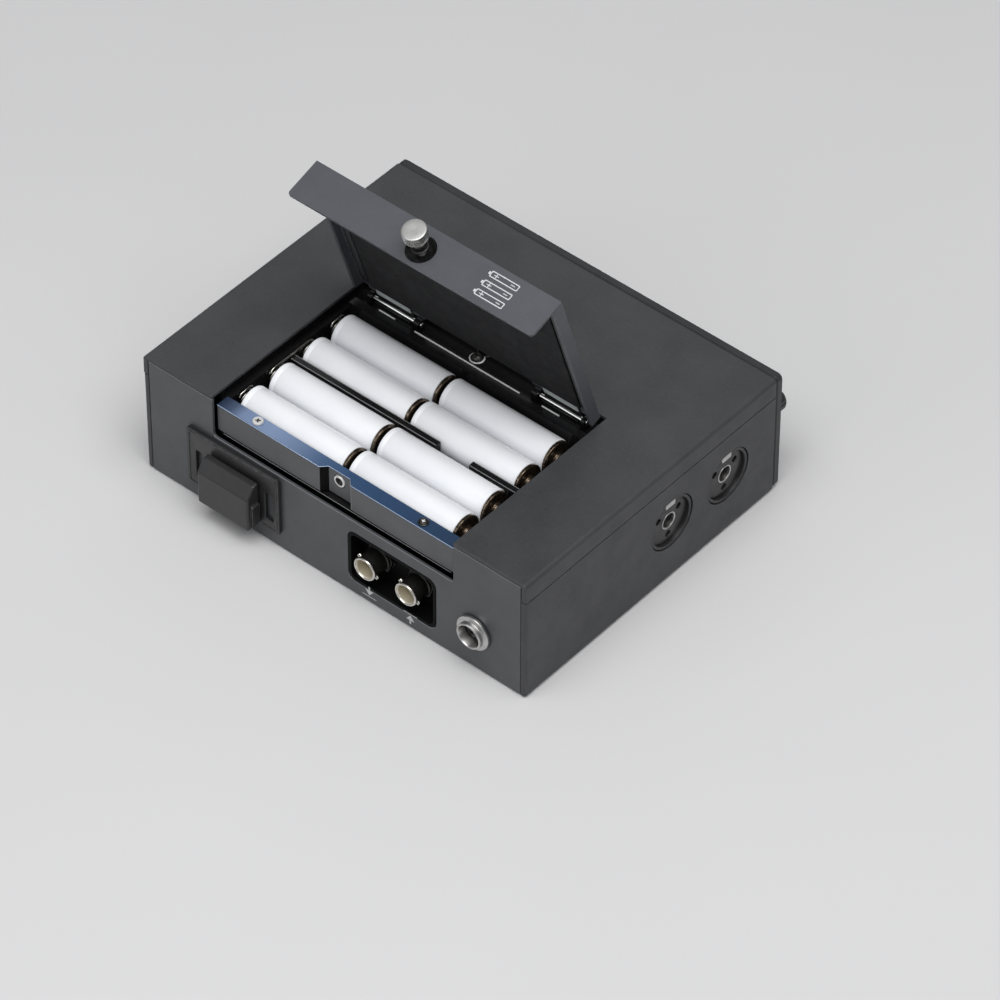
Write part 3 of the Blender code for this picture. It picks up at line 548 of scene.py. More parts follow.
def wire(points, r, cyclic=False, res=3, smooth=True):
    cu = bpy.data.curves.new("tmp", 'CURVE')
    cu.dimensions = '3D'
    cu.bevel_depth = r
    cu.bevel_resolution = res
    cu.use_fill_caps = True
    s = cu.splines.new('POLY')
    s.points.add(len(points) - 1)
    for p, q in zip(s.points, points):
        p.co = (*q, 1)
    s.use_cyclic_u = cyclic
    ob = bpy.data.objects.new("tmp", cu)
    COLL.objects.link(ob)
    me = evaluated(ob)
    bpy.data.objects.remove(ob)
    bpy.data.curves.remove(cu)
    bm = to_bm(me)
    bmesh.ops.remove_doubles(bm, verts=bm.verts, dist=1e-4)
    bmesh.ops.recalc_face_normals(bm, faces=bm.faces)
    return bm


def csg(base, ops):
    """Cuts from and joins to a closed shape; ops are ('-' or '+', shape)."""
    def ob_of(bm, n):
        me = bpy.data.meshes.new(n)
        bm.to_mesh(me)
        bm.free()
        o = bpy.data.objects.new(n, me)
        COLL.objects.link(o)
        return o
    a = ob_of(base, "tmp_base")
    tools = []
    for k, (kind, bm) in enumerate(ops):
        t = ob_of(bm, "tmp_tool")
        tools.append(t)
        md = a.modifiers.new("b%d" % k, 'BOOLEAN')
        md.operation = 'DIFFERENCE' if kind == '-' else 'UNION'
        md.solver = 'EXACT'
        md.object = t
    me = evaluated(a)
    for o in tools + [a]:
        d = o.data
        bpy.data.objects.remove(o)
        bpy.data.meshes.remove(d)
    bm = to_bm(me)
    bmesh.ops.remove_doubles(bm, verts=bm.verts, dist=1e-4)
    bmesh.ops.dissolve_limit(bm, angle_limit=math.radians(0.6), verts=bm.verts, edges=bm.edges)
    return bm


def piece(name, bm, mat, body="chassis", stands=(), lid=False, angle=34, bevel=None, seg=2, wn=None, sub=0):
    """Puts a shape into the scene as a piece that rides on a body."""
    me = bpy.data.meshes.new(name)
    bm.to_mesh(me)
    bm.free()
    if lid:
        me.transform(LID)
    me.transform(Matrix.Scale(MM, 4))
    me.materials.append(mat)
    me.shade_smooth()
    me.set_sharp_from_angle(angle=math.radians(angle))
    ob = bpy.data.objects.new(name, me)
    COLL.objects.link(ob)
    if sub:
        s = ob.modifiers.new("sub", 'SUBSURF')
        s.levels = s.render_levels = sub
    if bevel:
        b = ob.modifiers.new("edge", 'BEVEL')
        b.width = bevel * MM
        b.segments = seg
        b.limit_method = 'ANGLE'
        b.angle_limit = math.radians(38)
        b.miter_outer = 'MITER_ARC'
        b.use_clamp_overlap = True
        for e in me.edges:
            e.use_edge_sharp = False
    if wn or (wn is None and bevel):
        w = ob.modifiers.new("normals", 'WEIGHTED_NORMAL')
        w.keep_sharp = True
        w.weight = 60
    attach(ob, body)
    if stands:
        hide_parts(*([stands] if isinstance(stands, str) else stands))
    return ob


def dress(node, mat, bevel=0.25, seg=2, angle=38, clamp=True):
    """Keeps a CAD node's shape, rounds its edges and gives it a finish."""
    ob = NODES[node]
    me = ob.data
    for a in ("custom_normal", "sharp_edge", "sharp_face"):
        if a in me.attributes:
            me.attributes.remove(me.attributes[a])
    me.materials.clear()
    me.materials.append(mat)
    for p in me.polygons:
        p.material_index = 0
        p.use_smooth = True
    w = ob.modifiers.new("weld", 'WELD')
    w.merge_threshold = 0.000004
    d = ob.modifiers.new("flat", 'DECIMATE')
    d.decimate_type = 'DISSOLVE'
    d.angle_limit = math.radians(0.8)
    if bevel:
        b = ob.modifiers.new("edge", 'BEVEL')
        b.width = bevel * MM
        b.segments = seg
        b.limit_method = 'ANGLE'
        b.angle_limit = math.radians(angle)
        b.miter_outer = 'MITER_ARC'
        b.use_clamp_overlap = clamp
    n = ob.modifiers.new("normals", 'WEIGHTED_NORMAL')
    n.keep_sharp = True
    n.weight = 60
    return ob


def text(body, size, depth=0.05):
    cu = bpy.data.curves.new("tmp", 'FONT')
    cu.body = body
    cu.size = size
    cu.align_x = 'CENTER'
    cu.align_y = 'CENTER'
    cu.extrude = depth / 2
    cu.resolution_u = 4
    ob = bpy.data.objects.new("tmp", cu)
    COLL.objects.link(ob)
    me = evaluated(ob)
    bpy.data.objects.remove(ob)
    bpy.data.curves.remove(cu)
    bm = to_bm(me)
    bmesh.ops.remove_doubles(bm, verts=bm.verts, dist=1e-4)
    bmesh.ops.recalc_face_normals(bm, faces=bm.faces)
    return bm


def move(bm, x, y, z):
    bmesh.ops.translate(bm, verts=bm.verts, vec=(x, y, z))
    return bm


# ------------------------------------------------------------------ casing
dress("bottom_chassis", PAINT, 0.3)
dress("top_cover", PAINT, 0.3, 3)
dress("left_side_panel", PAINT, 0.3)
dress("right_side_panel", PAINT, 0.3)
dress("rear_panel", PAINT_REAR, 0.22, 2, clamp=False)
dress("front_panel", FRONT, 0.3, 2)
dress("battery_tray", GLOSS, 0.28, 3)
rail = dress("battery_rail", RAIL_GREY, 0.30, 2)
rail.data.materials.append(RAIL_BLUE)
rail.data.materials.append(POCKET)
# the rail's top faces get the navy painted reflection; one wall of the thumbscrew notch gets deep black as painted
# shade
for p in rail.data.polygons:
    if p.normal.z > 0.7 and p.center.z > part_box("battery_rail")[1].z - 0.0004:
        p.material_index = 1
    if p.normal.x < -0.4 and p.normal.y > 0.4 and 0.0049 < p.center.x < 0.0075:
        p.material_index = 2
dress("bnc_bezel", POCKET, 0.25, 3)
dress("main_board", PCB, 0.1, 1)
dress("display_module", LCD, 0.2)

# casing screws on the underside
def flat_screw(name, at, way, r=2.5, head=0.8, mat=STEEL):
    """Countersunk screw with a cross recess, its head facing the given way."""
    prof = rounded([(0, 0.0), (r, 0.0, 0.12), (r * 0.62, -head - 0.7), (r * 0.5, -head - 1.6), (0, -head - 1.6)], False, 3)
    bm = lathe(prof, 40)
    cross = []
    for a in (0, 90):
        c = block(-r * 0.62, r * 0.62, -0.26, 0.26, -0.75, 0.5, 0)
        for v in c.verts:
            if v.co.z < 0:
                v.co.x *= 0.45
                v.co.y *= 0.55
        bmesh.ops.rotate(c, verts=c.verts, cent=(0, 0, 0), matrix=Matrix.Rotation(math.radians(a + 12), 3, 'Z'))
        cross.append(('-', c))
    bm = csg(bm, cross)
    aim(bm, way, at)
    return piece(name, bm, mat, bevel=0.05, seg=1)


lo, hi = B("bottom_chassis")
for i, (x, y) in enumerate(((-72, -56), (72, -56), (-72, 58), (72, 58))):
    flat_screw("base_screw_%d" % (i + 1), (x, y, 0.35), '-z', 2.3)

# thin rubber strips let into the underside
for i, s in enumerate((-1, 1)):
    bm = plate([rrect(-52, 52, -4, 4, 4, 8)], 0.02, 0.3, 0.1, 2)
    move(bm, 0, s * 44.0 - (4 if s > 0 else 0), -0.29)
    # flush strips: their faces stay above the base plane
    bmesh.ops.translate(bm, verts=bm.verts, vec=(0, 0, 0.28))
    piece("base_strip_%d" % (i + 1), bm, RUBBER)

# tripod bush
lo, hi = B("tripod_insert")
cx, cy = (lo.x + hi.x) / 2, (lo.y + hi.y) / 2
th = []
h = 0.9
while h < 8.4:
    th += [(2.75, h), (3.15, h + 0.32), (2.75, h + 0.64)]
    h += 0.64
prof = [(3.3, 0.25), (2.75, 0.75)] + th + [(2.75, 8.9), (5.0, 9.0), (5.0, 3.2), (9.0, 3.2), (9.0, 1.85), (6.2, 1.85), (6.2, 0.45), (6.0, 0.25)]
bm = ring(prof, 48)
move(bm, cx, cy, 0)
piece("tripod_bush", bm, STEEL, stands="tripod_insert", angle=25)

# ------------------------------------------------------------------ cells
for i in range(1, 9):
    lo, hi = B("battery_cell_%d" % i)
    cy, cz, r, ln = (lo.y + hi.y) / 2, (lo.z + hi.z) / 2, (hi.z - lo.z) / 2, hi.x - lo.x
    seam = rng.uniform(0, 6.28)
    prof = rounded([(5.9, 0.12), (6.2, 0.0, 0.12), (r - 0.02, 0.0, 1.05), (r, 1.95), (r - 0.11, 2.15), (r, 2.35),
                    (r, ln - 4.4), (r - 0.04, ln - 4.1), (r, ln - 3.8), (r, ln - 3.05, 0.35), (6.75, ln - 2.75), (6.62, ln - 2.95), (6.62, ln - 6.0),
                    (6.62, 2.0), (5.9, 0.9)], True, 5)
    def wave(a, q, h, k, seam=seam):
        d = (a - seam + math.pi) % (2 * math.pi) - math.pi
        return (0.018 * math.exp(-(d / 0.05) ** 2) - 0.012 * math.exp(-((d - 0.11) / 0.07) ** 2)
                + 0.006 * math.sin(3 * a + i) * math.exp(-h / 9.0)) if q > 6.9 else 0.0
    bm = ring(prof, 120, wave)
    aim(bm, '-x', (hi.x, cy, cz))
    piece("battery_cell_%d_sleeve" % i, bm, SLEEVE, stands="battery_cell_%d" % i, angle=40)
    rc = 6.6
    prof = rounded([(0, 0.25), (4.2, 0.25, 0.2), (4.6, 0.05, 0.2), (5.6, 0.05, 0.3), (rc, 0.9), (rc, ln - 2.75), (6.86, ln - 2.6, 0.12),
                    (6.9, ln - 1.62, 0.3), (6.3, ln - 1.3, 0.25), (5.2, ln - 1.42, 0.15), (3.1, ln - 1.42, 0.15), (2.75, ln - 1.2, 0.12), (2.7, ln - 0.05, 0.35), (0, ln)], False, 4)
    bm = lathe(prof, 96)
    aim(bm, '-x', (hi.x, cy, cz))
    piece("battery_cell_%d_can" % i, bm, CAN, stands="battery_cell_%d" % i, angle=30)

# ------------------------------------------------------------------ contacts
def coil(x_wall, x_end, y, z, r0, r1, turns, wr, s):
    pts = []
    n = int(turns * 22)
    for k in range(n + 1):
        t = k / n
        a = 2 * math.pi * turns * t + math.pi / 2
        ease = t if t < 0.94 else 0.94 + (t - 0.94) * 0.2
        rr = r0 + (r1 - r0) * t
        pts.append((x_wall + (x_end - x_wall) * min(1, ease * 1.03), y + rr * math.cos(a), z + rr * math.sin(a)))
    return pts


for node, rows in (("contact_right_row_1", (1,)), ("contact_right_bridge", (2, 3)), ("contact_right_row_4", (4,))):
    lo, hi = B(node)
    bms = [face(plate([rrect(lo.y, hi.y, lo.z, hi.z, 1.2)], hi.x - 0.5, hi.x, 0.12), '+x')]
    for k in rows:
        cl, ch = B("battery_cell_%d" % (2 * k - 1))
        cy, cz = (cl.y + ch.y) / 2, (cl.z + ch.z) / 2
        pts = coil(hi.x - 0.8, ch.x + 0.75, cy, cz, 4.2, 2.3, 3.2, 0.3, 1)
        pts = [(hi.x - 0.75, cy - 0.2, 49.3), (hi.x - 0.75, cy, 49.0)] + pts[1:]
        bms.append(wire(pts, 0.3))
    if len(rows) == 2:
        a = (B("battery_cell_%d" % (2 * rows[0] - 1))[0].y + B("battery_cell_%d" % (2 * rows[0] - 1))[1].y) / 2
        b = (B("battery_cell_%d" % (2 * rows[1] - 1))[0].y + B("battery_cell_%d" % (2 * rows[1] - 1))[1].y) / 2
        bms.append(wire([(hi.x - 0.8, a + 2.6, 48.2), (hi.x - 0.75, a + 1.6, 49.2), (hi.x - 0.75, a, 49.55), (hi.x - 0.75, b, 49.55), (hi.x - 0.75, b - 1.6, 49.2), (hi.x - 0.8, b - 2.6, 48.2)], 0.36))
    else:
        cl, ch = B("battery_cell_%d" % (2 * rows[0] - 1))
        cy = (cl.y + ch.y) / 2
        bms.append(wire([(hi.x - 0.8, cy + 3.4, 48.0), (hi.x - 0.75, cy + 2.6, 49.2), (hi.x - 0.75, cy - 2.2, 49.55), (hi.x - 0.75, cy - 3.2, 49.1)], 0.36))
    piece(node + "_spring", merge(*bms), SPRING, stands=node, angle=40)

for node, rows in (("contact_left_bridge_1", (1, 2)), ("contact_left_bridge_2", (3, 4))):
    lo, hi = B(node)
    bms = [face(plate([rrect(lo.y, hi.y, lo.z, hi.z, 1.2)], lo.x, lo.x + 0.5, 0.12), '+x')]
    for k in rows:
        cl, ch = B("battery_cell_%d" % (2 * k))
        cy, cz = (cl.y + ch.y) / 2, (cl.z + ch.z) / 2
        d = lathe(rounded([(3.4, 0), (2.7, 0.35, 0.3), (1.7, 1.1, 0.3), (0, 1.25)], False, 4), 40)
        aim(d, '+x', (lo.x + 0.45, cy, cz))
        bms.append(d)
        for sgn in (-1, 1):
            bms.append(block(lo.x + 0.3, lo.x + 0.72, cy - 4.4, cy + 4.4, cz + sgn * 3.0 - 0.25, cz + sgn * 3.0 + 0.25, 0.08, 1))
    piece(node + "_strip", merge(*bms), SPRING, stands=node, angle=40)

# ------------------------------------------------------------------ rail screws, threaded insert
def pan_screw(name, at, way, r, hgt, stands=(), shank=4.2, mat=NICKEL, lid=False, body="chassis", turn=20, flat=0.55, slot_w=0.13, recess=None):
    prof = rounded([(0, hgt), (r * flat, hgt * 0.96), (r * (flat + 1) / 2, hgt * 0.72), (r, hgt * 0.22), (r, 0.0, 0.06), (r * 0.45, 0.0)], False, 4) + [(r * 0.42, -shank), (0, -shank)]
    bm = lathe(prof, 48)
    ops = []
    for a in (0, 90):
        c = block(-r * 0.66, r * 0.66, -r * slot_w, r * slot_w, hgt * 0.12, hgt * 1.6, 0)
        for v in c.verts:
            if v.co.z < hgt:
                v.co.x *= 0.42
                v.co.y *= 0.6
        bmesh.ops.rotate(c, verts=c.verts, cent=(0, 0, 0), matrix=Matrix.Rotation(math.radians(a + turn), 3, 'Z'))
        ops.append(('-', c))
    bm = csg(bm, ops)
    # faces inside the cross recess take the recess material: painted shade on the right rail screw, painted glints on
    # the left one
    for f in bm.faces:
        c = f.calc_center_median()
        if math.hypot(c.x, c.y) < r * 0.68 and 0.05 * hgt < c.z < hgt * 0.9:
            f.material_index = 1
    aim(bm, way, at)
    ob = piece(name, bm, mat, body=body, stands=stands, bevel=0.04, seg=1)
    ob.data.materials.append(recess or mat)
    return ob


for k, nm in enumerate(("rail_screw_left", "rail_screw_right")):
    lo, hi = B(nm)
    at = ((lo.x + hi.x) / 2, (lo.y + hi.y) / 2, hi.z - 1.15)
    if k == 0:
        rim = ring(rounded([(1.6, 0.0), (2.0, 0.0, 0.05), (2.0, 0.30, 0.1), (1.7, 0.5, 0.1), (1.5, 0.4)], True, 3), 48)
        aim(rim, '+z', at)
        piece(nm + "_collar", rim, NUT_BLACK, stands=nm, angle=30)
    # left screw: shadowed nickel head, its cross painted bright as painted glints; right screw: bright head, its cross
    # painted black as painted shade
    pan_screw(nm + "_head", at, '+z', (1.45, 2.05)[k], 0.8, stands=nm, turn=(12, 30)[k], mat=(NICKEL_DARK, BRIGHT_FLAT)[k], flat=0.92, slot_w=0.18, recess=(BRIGHT_FLAT, NUT_BLACK)[k])

lo, hi = B("thumbscrew_insert")
zc = (lo.z + hi.z) / 2
th = []
h = 0.15
while h < 1.6:
    th += [(1.65, h), (1.45, h + 0.2), (1.65, h + 0.4)]
    h += 0.45
bm = ring([(1.95, 1.9)] + rounded([(2.3, 1.9, 0.1), (2.45, 1.7, 0.1), (2.45, 0.05)], False, 2) + [(1.7, 0.05)] + th, 56)
# the bore and the back end of the insert are painted black: painted shade inside the threads
for f in bm.faces:
    c = f.calc_center_median()
    if math.hypot(c.x, c.y) < 1.74 or c.z < 0.2:
        f.material_index = 1
aim(bm, '+y', (0, lo.y, zc))
ob = piece("rail_threaded_insert", bm, BRIGHT_FLAT, stands="thumbscrew_insert", angle=28)
ob.data.materials.append(NUT_BLACK)
plug = lathe(rounded([(0, -0.02), (1.5, -0.02), (1.62, -0.1), (1.62, -0.35), (0, -0.35)], False, 2), 32)
aim(plug, '+y', (0, lo.y, zc))
piece("rail_insert_bore_shade", plug, POCKET)

# ------------------------------------------------------------------ hinge
for nm, s in (("hinge_rod_left", -1), ("hinge_rod_right", 1)):
    lo, hi = B(nm)
    ln = hi.x - lo.x
    bm = lathe(rounded([(0, ln), (1.0, ln, 0.25), (1.0, 0, 0.25), (0, 0)], False, 4), 40)
    aim(bm, '+x', (lo.x, (lo.y + hi.y) / 2, (lo.z + hi.z) / 2))
    piece(nm + "_pin", bm, CHROME, stands=nm, angle=40)

# bright raised lines along the far wall of the bay, painted highlights for its rib edges; small screws in the hinge
# gutter
lo, hi = B("battery_tray")
far = HINGE.y + 4.0
ribs = [wire([(-23.0, far, 51.75), (26.0, far, 51.75)], 0.32)]
for a, b in ((35.5, 43.0), (-41.0, -33.2)):
    ribs.append(wire([(a, far - 0.2, 51.75), (b, far - 0.2, 51.75)], 0.3))
piece("bay_wall_highlight_lines", merge(*ribs), EDGE_LIGHT)
pan_screw("gutter_screw_1", (2.5, -10.6, 48.45), '+z', 2.45, 1.7, shank=1.0, turn=10, mat=NUT_BLACK, flat=0.4)
wsh = ring(rounded([(1.6, 0.0), (3.0, 0.0, 0.1), (3.0, 0.3, 0.14), (2.6, 0.42, 0.1), (1.6, 0.42)], True, 3), 56)
aim(wsh, '+z', (2.5, -10.6, 48.15))
piece("gutter_screw_1_washer", wsh, BRIGHT_FLAT)
pan_screw("gutter_screw_2", (-34.5, -11.1, 48.3), '+z', 1.3, 0.8, shank=0.8, turn=50)
pan_screw("gutter_screw_3", (38.5, -11.1, 48.3), '+z', 1.3, 0.8, shank=0.8, turn=70)

# painted highlight lines on the edges of the rib between the second and third rows, and the tray's edge by the rail
rl = []
for y in (30.42, 32.68):
    rl.append(wire([(-52.2, y, 48.52), (-31.2, y, 48.52)], 0.17))
    rl.append(wire([(-15.8, y, 48.52), (52.2, y, 48.52)], 0.17))
piece("bay_row_rib_edge_highlights", merge(*rl), EDGE_SOFT)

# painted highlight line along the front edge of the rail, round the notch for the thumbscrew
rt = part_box("battery_rail")[1].z / MM - 0.08
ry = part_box("battery_rail")[1].y / MM - 0.08
piece("battery_rail_edge_highlight", wire([(-55.3, ry, rt), (-7.33, ry, rt), (-5.03, ry - 2.4, rt), (5.03, ry - 2.4, rt), (7.33, ry, rt), (55.3, ry, rt)], 0.2), RAIL_EDGE)

# painted highlight line down the edge of the rail's notch
piece("battery_rail_notch_edge_highlight", wire([(-7.3, 67.86, 37.9), (-7.3, 67.86, 49.1)], 0.16), EDGE_SOFT)

# thin bright line on the edge of the tray's sill under the rail: a painted highlight
piece("tray_sill_edge_highlight", wire([(-53.0, 67.62, 36.5), (53.0, 67.62, 36.5)], 0.2), EDGE_SOFT)

# bay floor: cradle ribs under the cells
bms = []
for x in (-44, -30, -12, 12, 30, 44):
    for y in (55.8, 40.3, 22.8, 7.3):
        for s in (-1, 1):
            bms.append(block(x - 0.7, x + 0.7, y + s * 4.3 - 1.3, y + s * 4.3 + 1.3, 37.0, 38.3, 0.25, 2))
piece("bay_cradle_ribs", merge(*bms), GLOSS)

# end wall bosses, left side of the photo
bms = []
for y in (55.8, 40.3, 22.8, 7.3):
    for s in (-1, 1):
        xw = s * 54.7
        bms.append(block(xw - 0.55, xw + 0.55, y - 6.2, y - 4.9, 40.0, 49.15, 0.2, 2))
        bms.append(block(xw - 0.55, xw + 0.55, y + 4.9, y + 6.2, 40.0, 49.15, 0.2, 2))
piece("bay_end_guides", merge(*bms), GLOSS)

# ------------------------------------------------------------------ lid
lo, hi = BL("battery_door")
w, t, top, lip = hi.x, 1.3, hi.z, lo.z
y_hinge_end = -5.4
base = block(-w, w, y_hinge_end, hi.y, lip, top, 0)
edges(base, 1.3, 6, lambda m, d: abs(d.y) > 0.99 and m.z < lip + 0.1)
edges(base, 1.0, 5, lambda m, d: (m.z > top - 0.05 and (abs(d.x) > 0.99 and m.y > 0 or abs(d.y) > 0.99)) or (abs(d.z) > 0.9 and m.y > hi.y - 0.05))
inner = block(-w + t, w - t, -9, hi.y - t, 20, top - t, 0)
edges(inner, 0.5, 3, lambda m, d: m.z > top - t - 0.05 or abs(d.z) > 0.9 and m.y > 0)
ops = [('-', inner), ('-', block(-w - 5, w + 5, -9, hi.y - t, 20, top - 4.7, 0)),
       ('-', edges(block(-25.2, 25.2, -12, -1.5, top - 4, top + 4, 0), 1.2, 4, lambda m, d: abs(d.z) > 0.9))]
for s in (-1, 1):
    ops.append(('-', block(*sorted((s * 51.4, s * 60.0)), -9, -3.4, top - 8, top + 4, 0)))
zc = sum(v.z for v in BL("battery_thumbscrew")) / 2
cup = lathe([(0, 0), (4.2, 0.0), (4.45, 0.12), (6.5, 2.75), (0, 2.75)], 64)
aim(cup, '+y', (0, hi.y - 3.2, zc))
ops.append(('+', cup))
hol = lathe(rounded([(0, -6), (1.7, -6), (1.7, 0.0), (3.6, 0.0, 0.4), (5.55, 1.75, 0.3), (5.8, 2.1), (5.85, 4.0), (0, 4.0)], False, 5), 72)
aim(hol, '+y', (0, hi.y - 2.1, zc))
ops.append(('-', hol))
bm = csg(base, ops)
piece("battery_lid", bm, PAINT_LID, "battery_door", "battery_door", lid=True, bevel=0.16, seg=2)

# black lining in the recess of the lip, which makes the recess dark
liner = ring(rounded([(1.72, 0.03), (3.3, 0.03), (3.75, 0.14, 0.3), (5.35, 1.72, 0.3), (5.74, 2.02, 0.12), (5.82, 2.13, 0.06), (5.9, 2.0), (5.3, 1.2), (3.7, -0.25), (1.72, -0.25)], True, 4), 96)
aim(liner, '+y', (0, BL("battery_door")[1].y - 2.1, zc))
piece("lip_recess_liner", liner, GLOSS, "battery_door", lid=True, angle=30)

# hinge leaves: black hooks rolled behind the pins, with a plate under the pad's edge whose light grey-green is a
# painted reflection of the cells
for nm, s in (("left", -1), ("right", 1)):
    xa, xb = sorted((s * 30.6, s * 47.4))
    prof = [(HINGE.y + 12.0, HINGE.z + 1.2), (HINGE.y + 0.6, HINGE.z + 1.2)]
    for k in range(0, 17):                     # hook, from over the pin round its far side
        a = math.radians(80 + k * 190 / 16)
        prof.append((HINGE.y + 1.28 * math.cos(a), HINGE.z + 1.28 * math.sin(a)))
    bm = bmesh.new()
    rows = []
    for y, z in prof:
        rows.append([bm.verts.new((xa + (xb - xa) * q / 2.0, y, z)) for q in range(3)])
    for a, b in zip(rows, rows[1:]):
        for q in range(2):
            bm.faces.new((a[q], a[q + 1], b[q + 1], b[q]))
    ob = piece("lid_hinge_hook_" + nm, bm, SATIN_BLACK, "battery_door", lid=True, angle=60)
    so = ob.modifiers.new("thick", 'SOLIDIFY')
    so.thickness = 0.36 * MM
    so.offset = 0
    pl = plate([rounded([(xa + 0.4, HINGE.y + 2.8, 0.3), (xb - 0.4, HINGE.y + 2.8, 0.3), (xb - 0.4, HINGE.y + 12.0, 0.3), (xa + 0.4, HINGE.y + 12.0, 0.3)], True, 3)],
               HINGE.z + 0.62, HINGE.z + 1.0, 0.08, 1)
    piece("lid_hinge_leaf_" + nm, pl, LEAF, "battery_door", lid=True)

# pad, its edge ribs and the rolled border
lo, hi = BL("battery_door_pad")
bm = plate([rrect(lo.x + 0.6, hi.x - 0.6, lo.y - 1.5, hi.y - 0.4, 1.2, 6)], lo.z + 0.02, hi.z + 0.05, 0.26, 3)
bmesh.ops.triangulate(bm, faces=[f for f in bm.faces if len(f.verts) > 4])
piece("lid_foam_pad", bm, FOAM, "battery_door", "battery_door_pad", lid=True, angle=50)
bms = []
for s in (-1, 1):
    for x0, x1, z in ((49.75, 52.3, 52.2),):
        a, b = sorted((s * x0, s * x1))
        bms.append(block(a, b, 2.0, 66.8, z, 53.2, 0.28, 2))
bms.append(block(-50.7, 50.7, 65.0, 65.9, 52.3, 53.2, 0.22, 2))
piece("lid_inner_ribs", merge(*bms), PAINT, "battery_door", lid=True)
bm = plate([rrect(-54.0, 54.0, -1.2, 68.2, 0.6, 3), rrect(-24.9, 24.9, -3.0, -1.21, 0.2, 2)][:1], 52.98, 53.14, 0.05, 1)
piece("lid_liner", bm, SATIN_BLACK, "battery_door", lid=True)

# generic battery pictogram printed on the lip, no lettering
lo, hi = BL("battery_door")
px, pz = -33.5, 46.3
bms = []
for k in range(3):
    zz = pz + 4.2 - k * 4.2
    bms.append(plate([rrect(-6.2, 6.2, -1.3, 1.3, 0.5), rrect(-5.8, 5.8, -0.9, 0.9, 0.3)], 0, 0.03, 0.006, 1))
    move(bms[-1], px, zz, 0)
    bms.append(plate([rrect(6.3, 7.0, -0.6, 0.6, 0.15)], 0, 0.03, 0.006, 1))
    move(bms[-1], px, zz, 0)
    sgn = 1 if k % 2 == 0 else 1
    bms.append(plate([rrect(2.6, 4.6, -0.16, 0.16, 0.05)], 0, 0.03, 0.006, 1))
    move(bms[-1], px, zz, 0)
    bms.append(plate([rrect(3.44, 3.76, -0.85, 0.85, 0.05)], 0, 0.031, 0.006, 1))
    move(bms[-1], px, zz, 0)
    bms.append(plate([rrect(-4.6, -2.8, -0.16, 0.16, 0.05)], 0, 0.03, 0.006, 1))
    move(bms[-1], px, zz, 0)
bm = merge(*bms)
face(bm, '+y')
move(bm, 0, hi.y + 0.005, 0)
piece("lip_pictogram", bm, PRINT, "battery_door", lid=True)

# ------------------------------------------------------------------ thumbscrew
lo, hi = BL("battery_thumbscrew")
y0 = lo.y
zc = (lo.z + hi.z) / 2
N = 44


def knurl(a, r, h, k):
    if 11.35 < h < 15.25 and r > 4.4:
        d = min(1.0, (h - 11.35) / 0.25, (15.25 - h) / 0.25)
        return -0.40 * d * abs(math.cos(a * N / 2)) ** 0.8 + 0.02
    return 0.0


prof = [(0, 15.50), (0.35, 15.52), (2.2, 15.52), (4.1, 15.53), (4.34, 15.47), (4.5, 15.36), (4.62, 15.2), (4.66, 15.1), (4.66, 14.9), (4.66, 13.4), (4.66, 11.7), (4.66, 11.4),
        (4.5, 11.28), (4.25, 11.1), (2.8, 11.05), (0, 11.0)]
bm = lathe(prof, N * 8, knurl)
# faces below the top of the head take the darker knurl nickel as painted shade
for f in bm.faces:
    c = f.calc_center_median()
    if c.z < 15.2:
        f.material_index = 1
aim(bm, '+y', (0, y0, zc))
head = piece("thumbscrew_head", bm, WARM_TOP, "thumbscrew", "battery_thumbscrew", lid=True, angle=24)
head.data.materials.append(KNURL)
th = []
h = 0.5
while h < 5.6:
    th += [(1.28, h + 0.4), (1.08, h + 0.2), (1.28, h)][::-1]
    h += 0.5
prof = [(0, 0.0), (0.8, 0.02), (1.1, 0.35)] + th + rounded([(1.2, 6.0), (1.6, 6.15, 0.1), (2.7, 6.3, 0.3), (2.7, 8.2, 0.15), (2.35, 8.45, 0.1), (2.35, 8.9, 0.1), (2.7, 9.15, 0.15), (2.72, 10.7, 0.2), (2.6, 11.02), (0, 11.02)], False, 3)
bm = lathe(prof, 56)
aim(bm, '+y', (0, y0, zc))
piece("thumbscrew_shank", bm, NICKEL_DARK, "thumbscrew", "battery_thumbscrew", lid=True, angle=30)
lo, hi = BL("thumbscrew_washer")
bm = ring(rounded([(1.65, 0.6), (3.0, 0.6, 0.1), (3.3, 0.45, 0.1), (3.3, 0.0, 0.1), (1.65, 0.0)], True, 3), 56)
aim(bm, '+y', (0, lo.y, zc))
piece("thumbscrew_captive_washer", bm, SATIN_BLACK, "thumbscrew_slide", "thumbscrew_washer", lid=True)

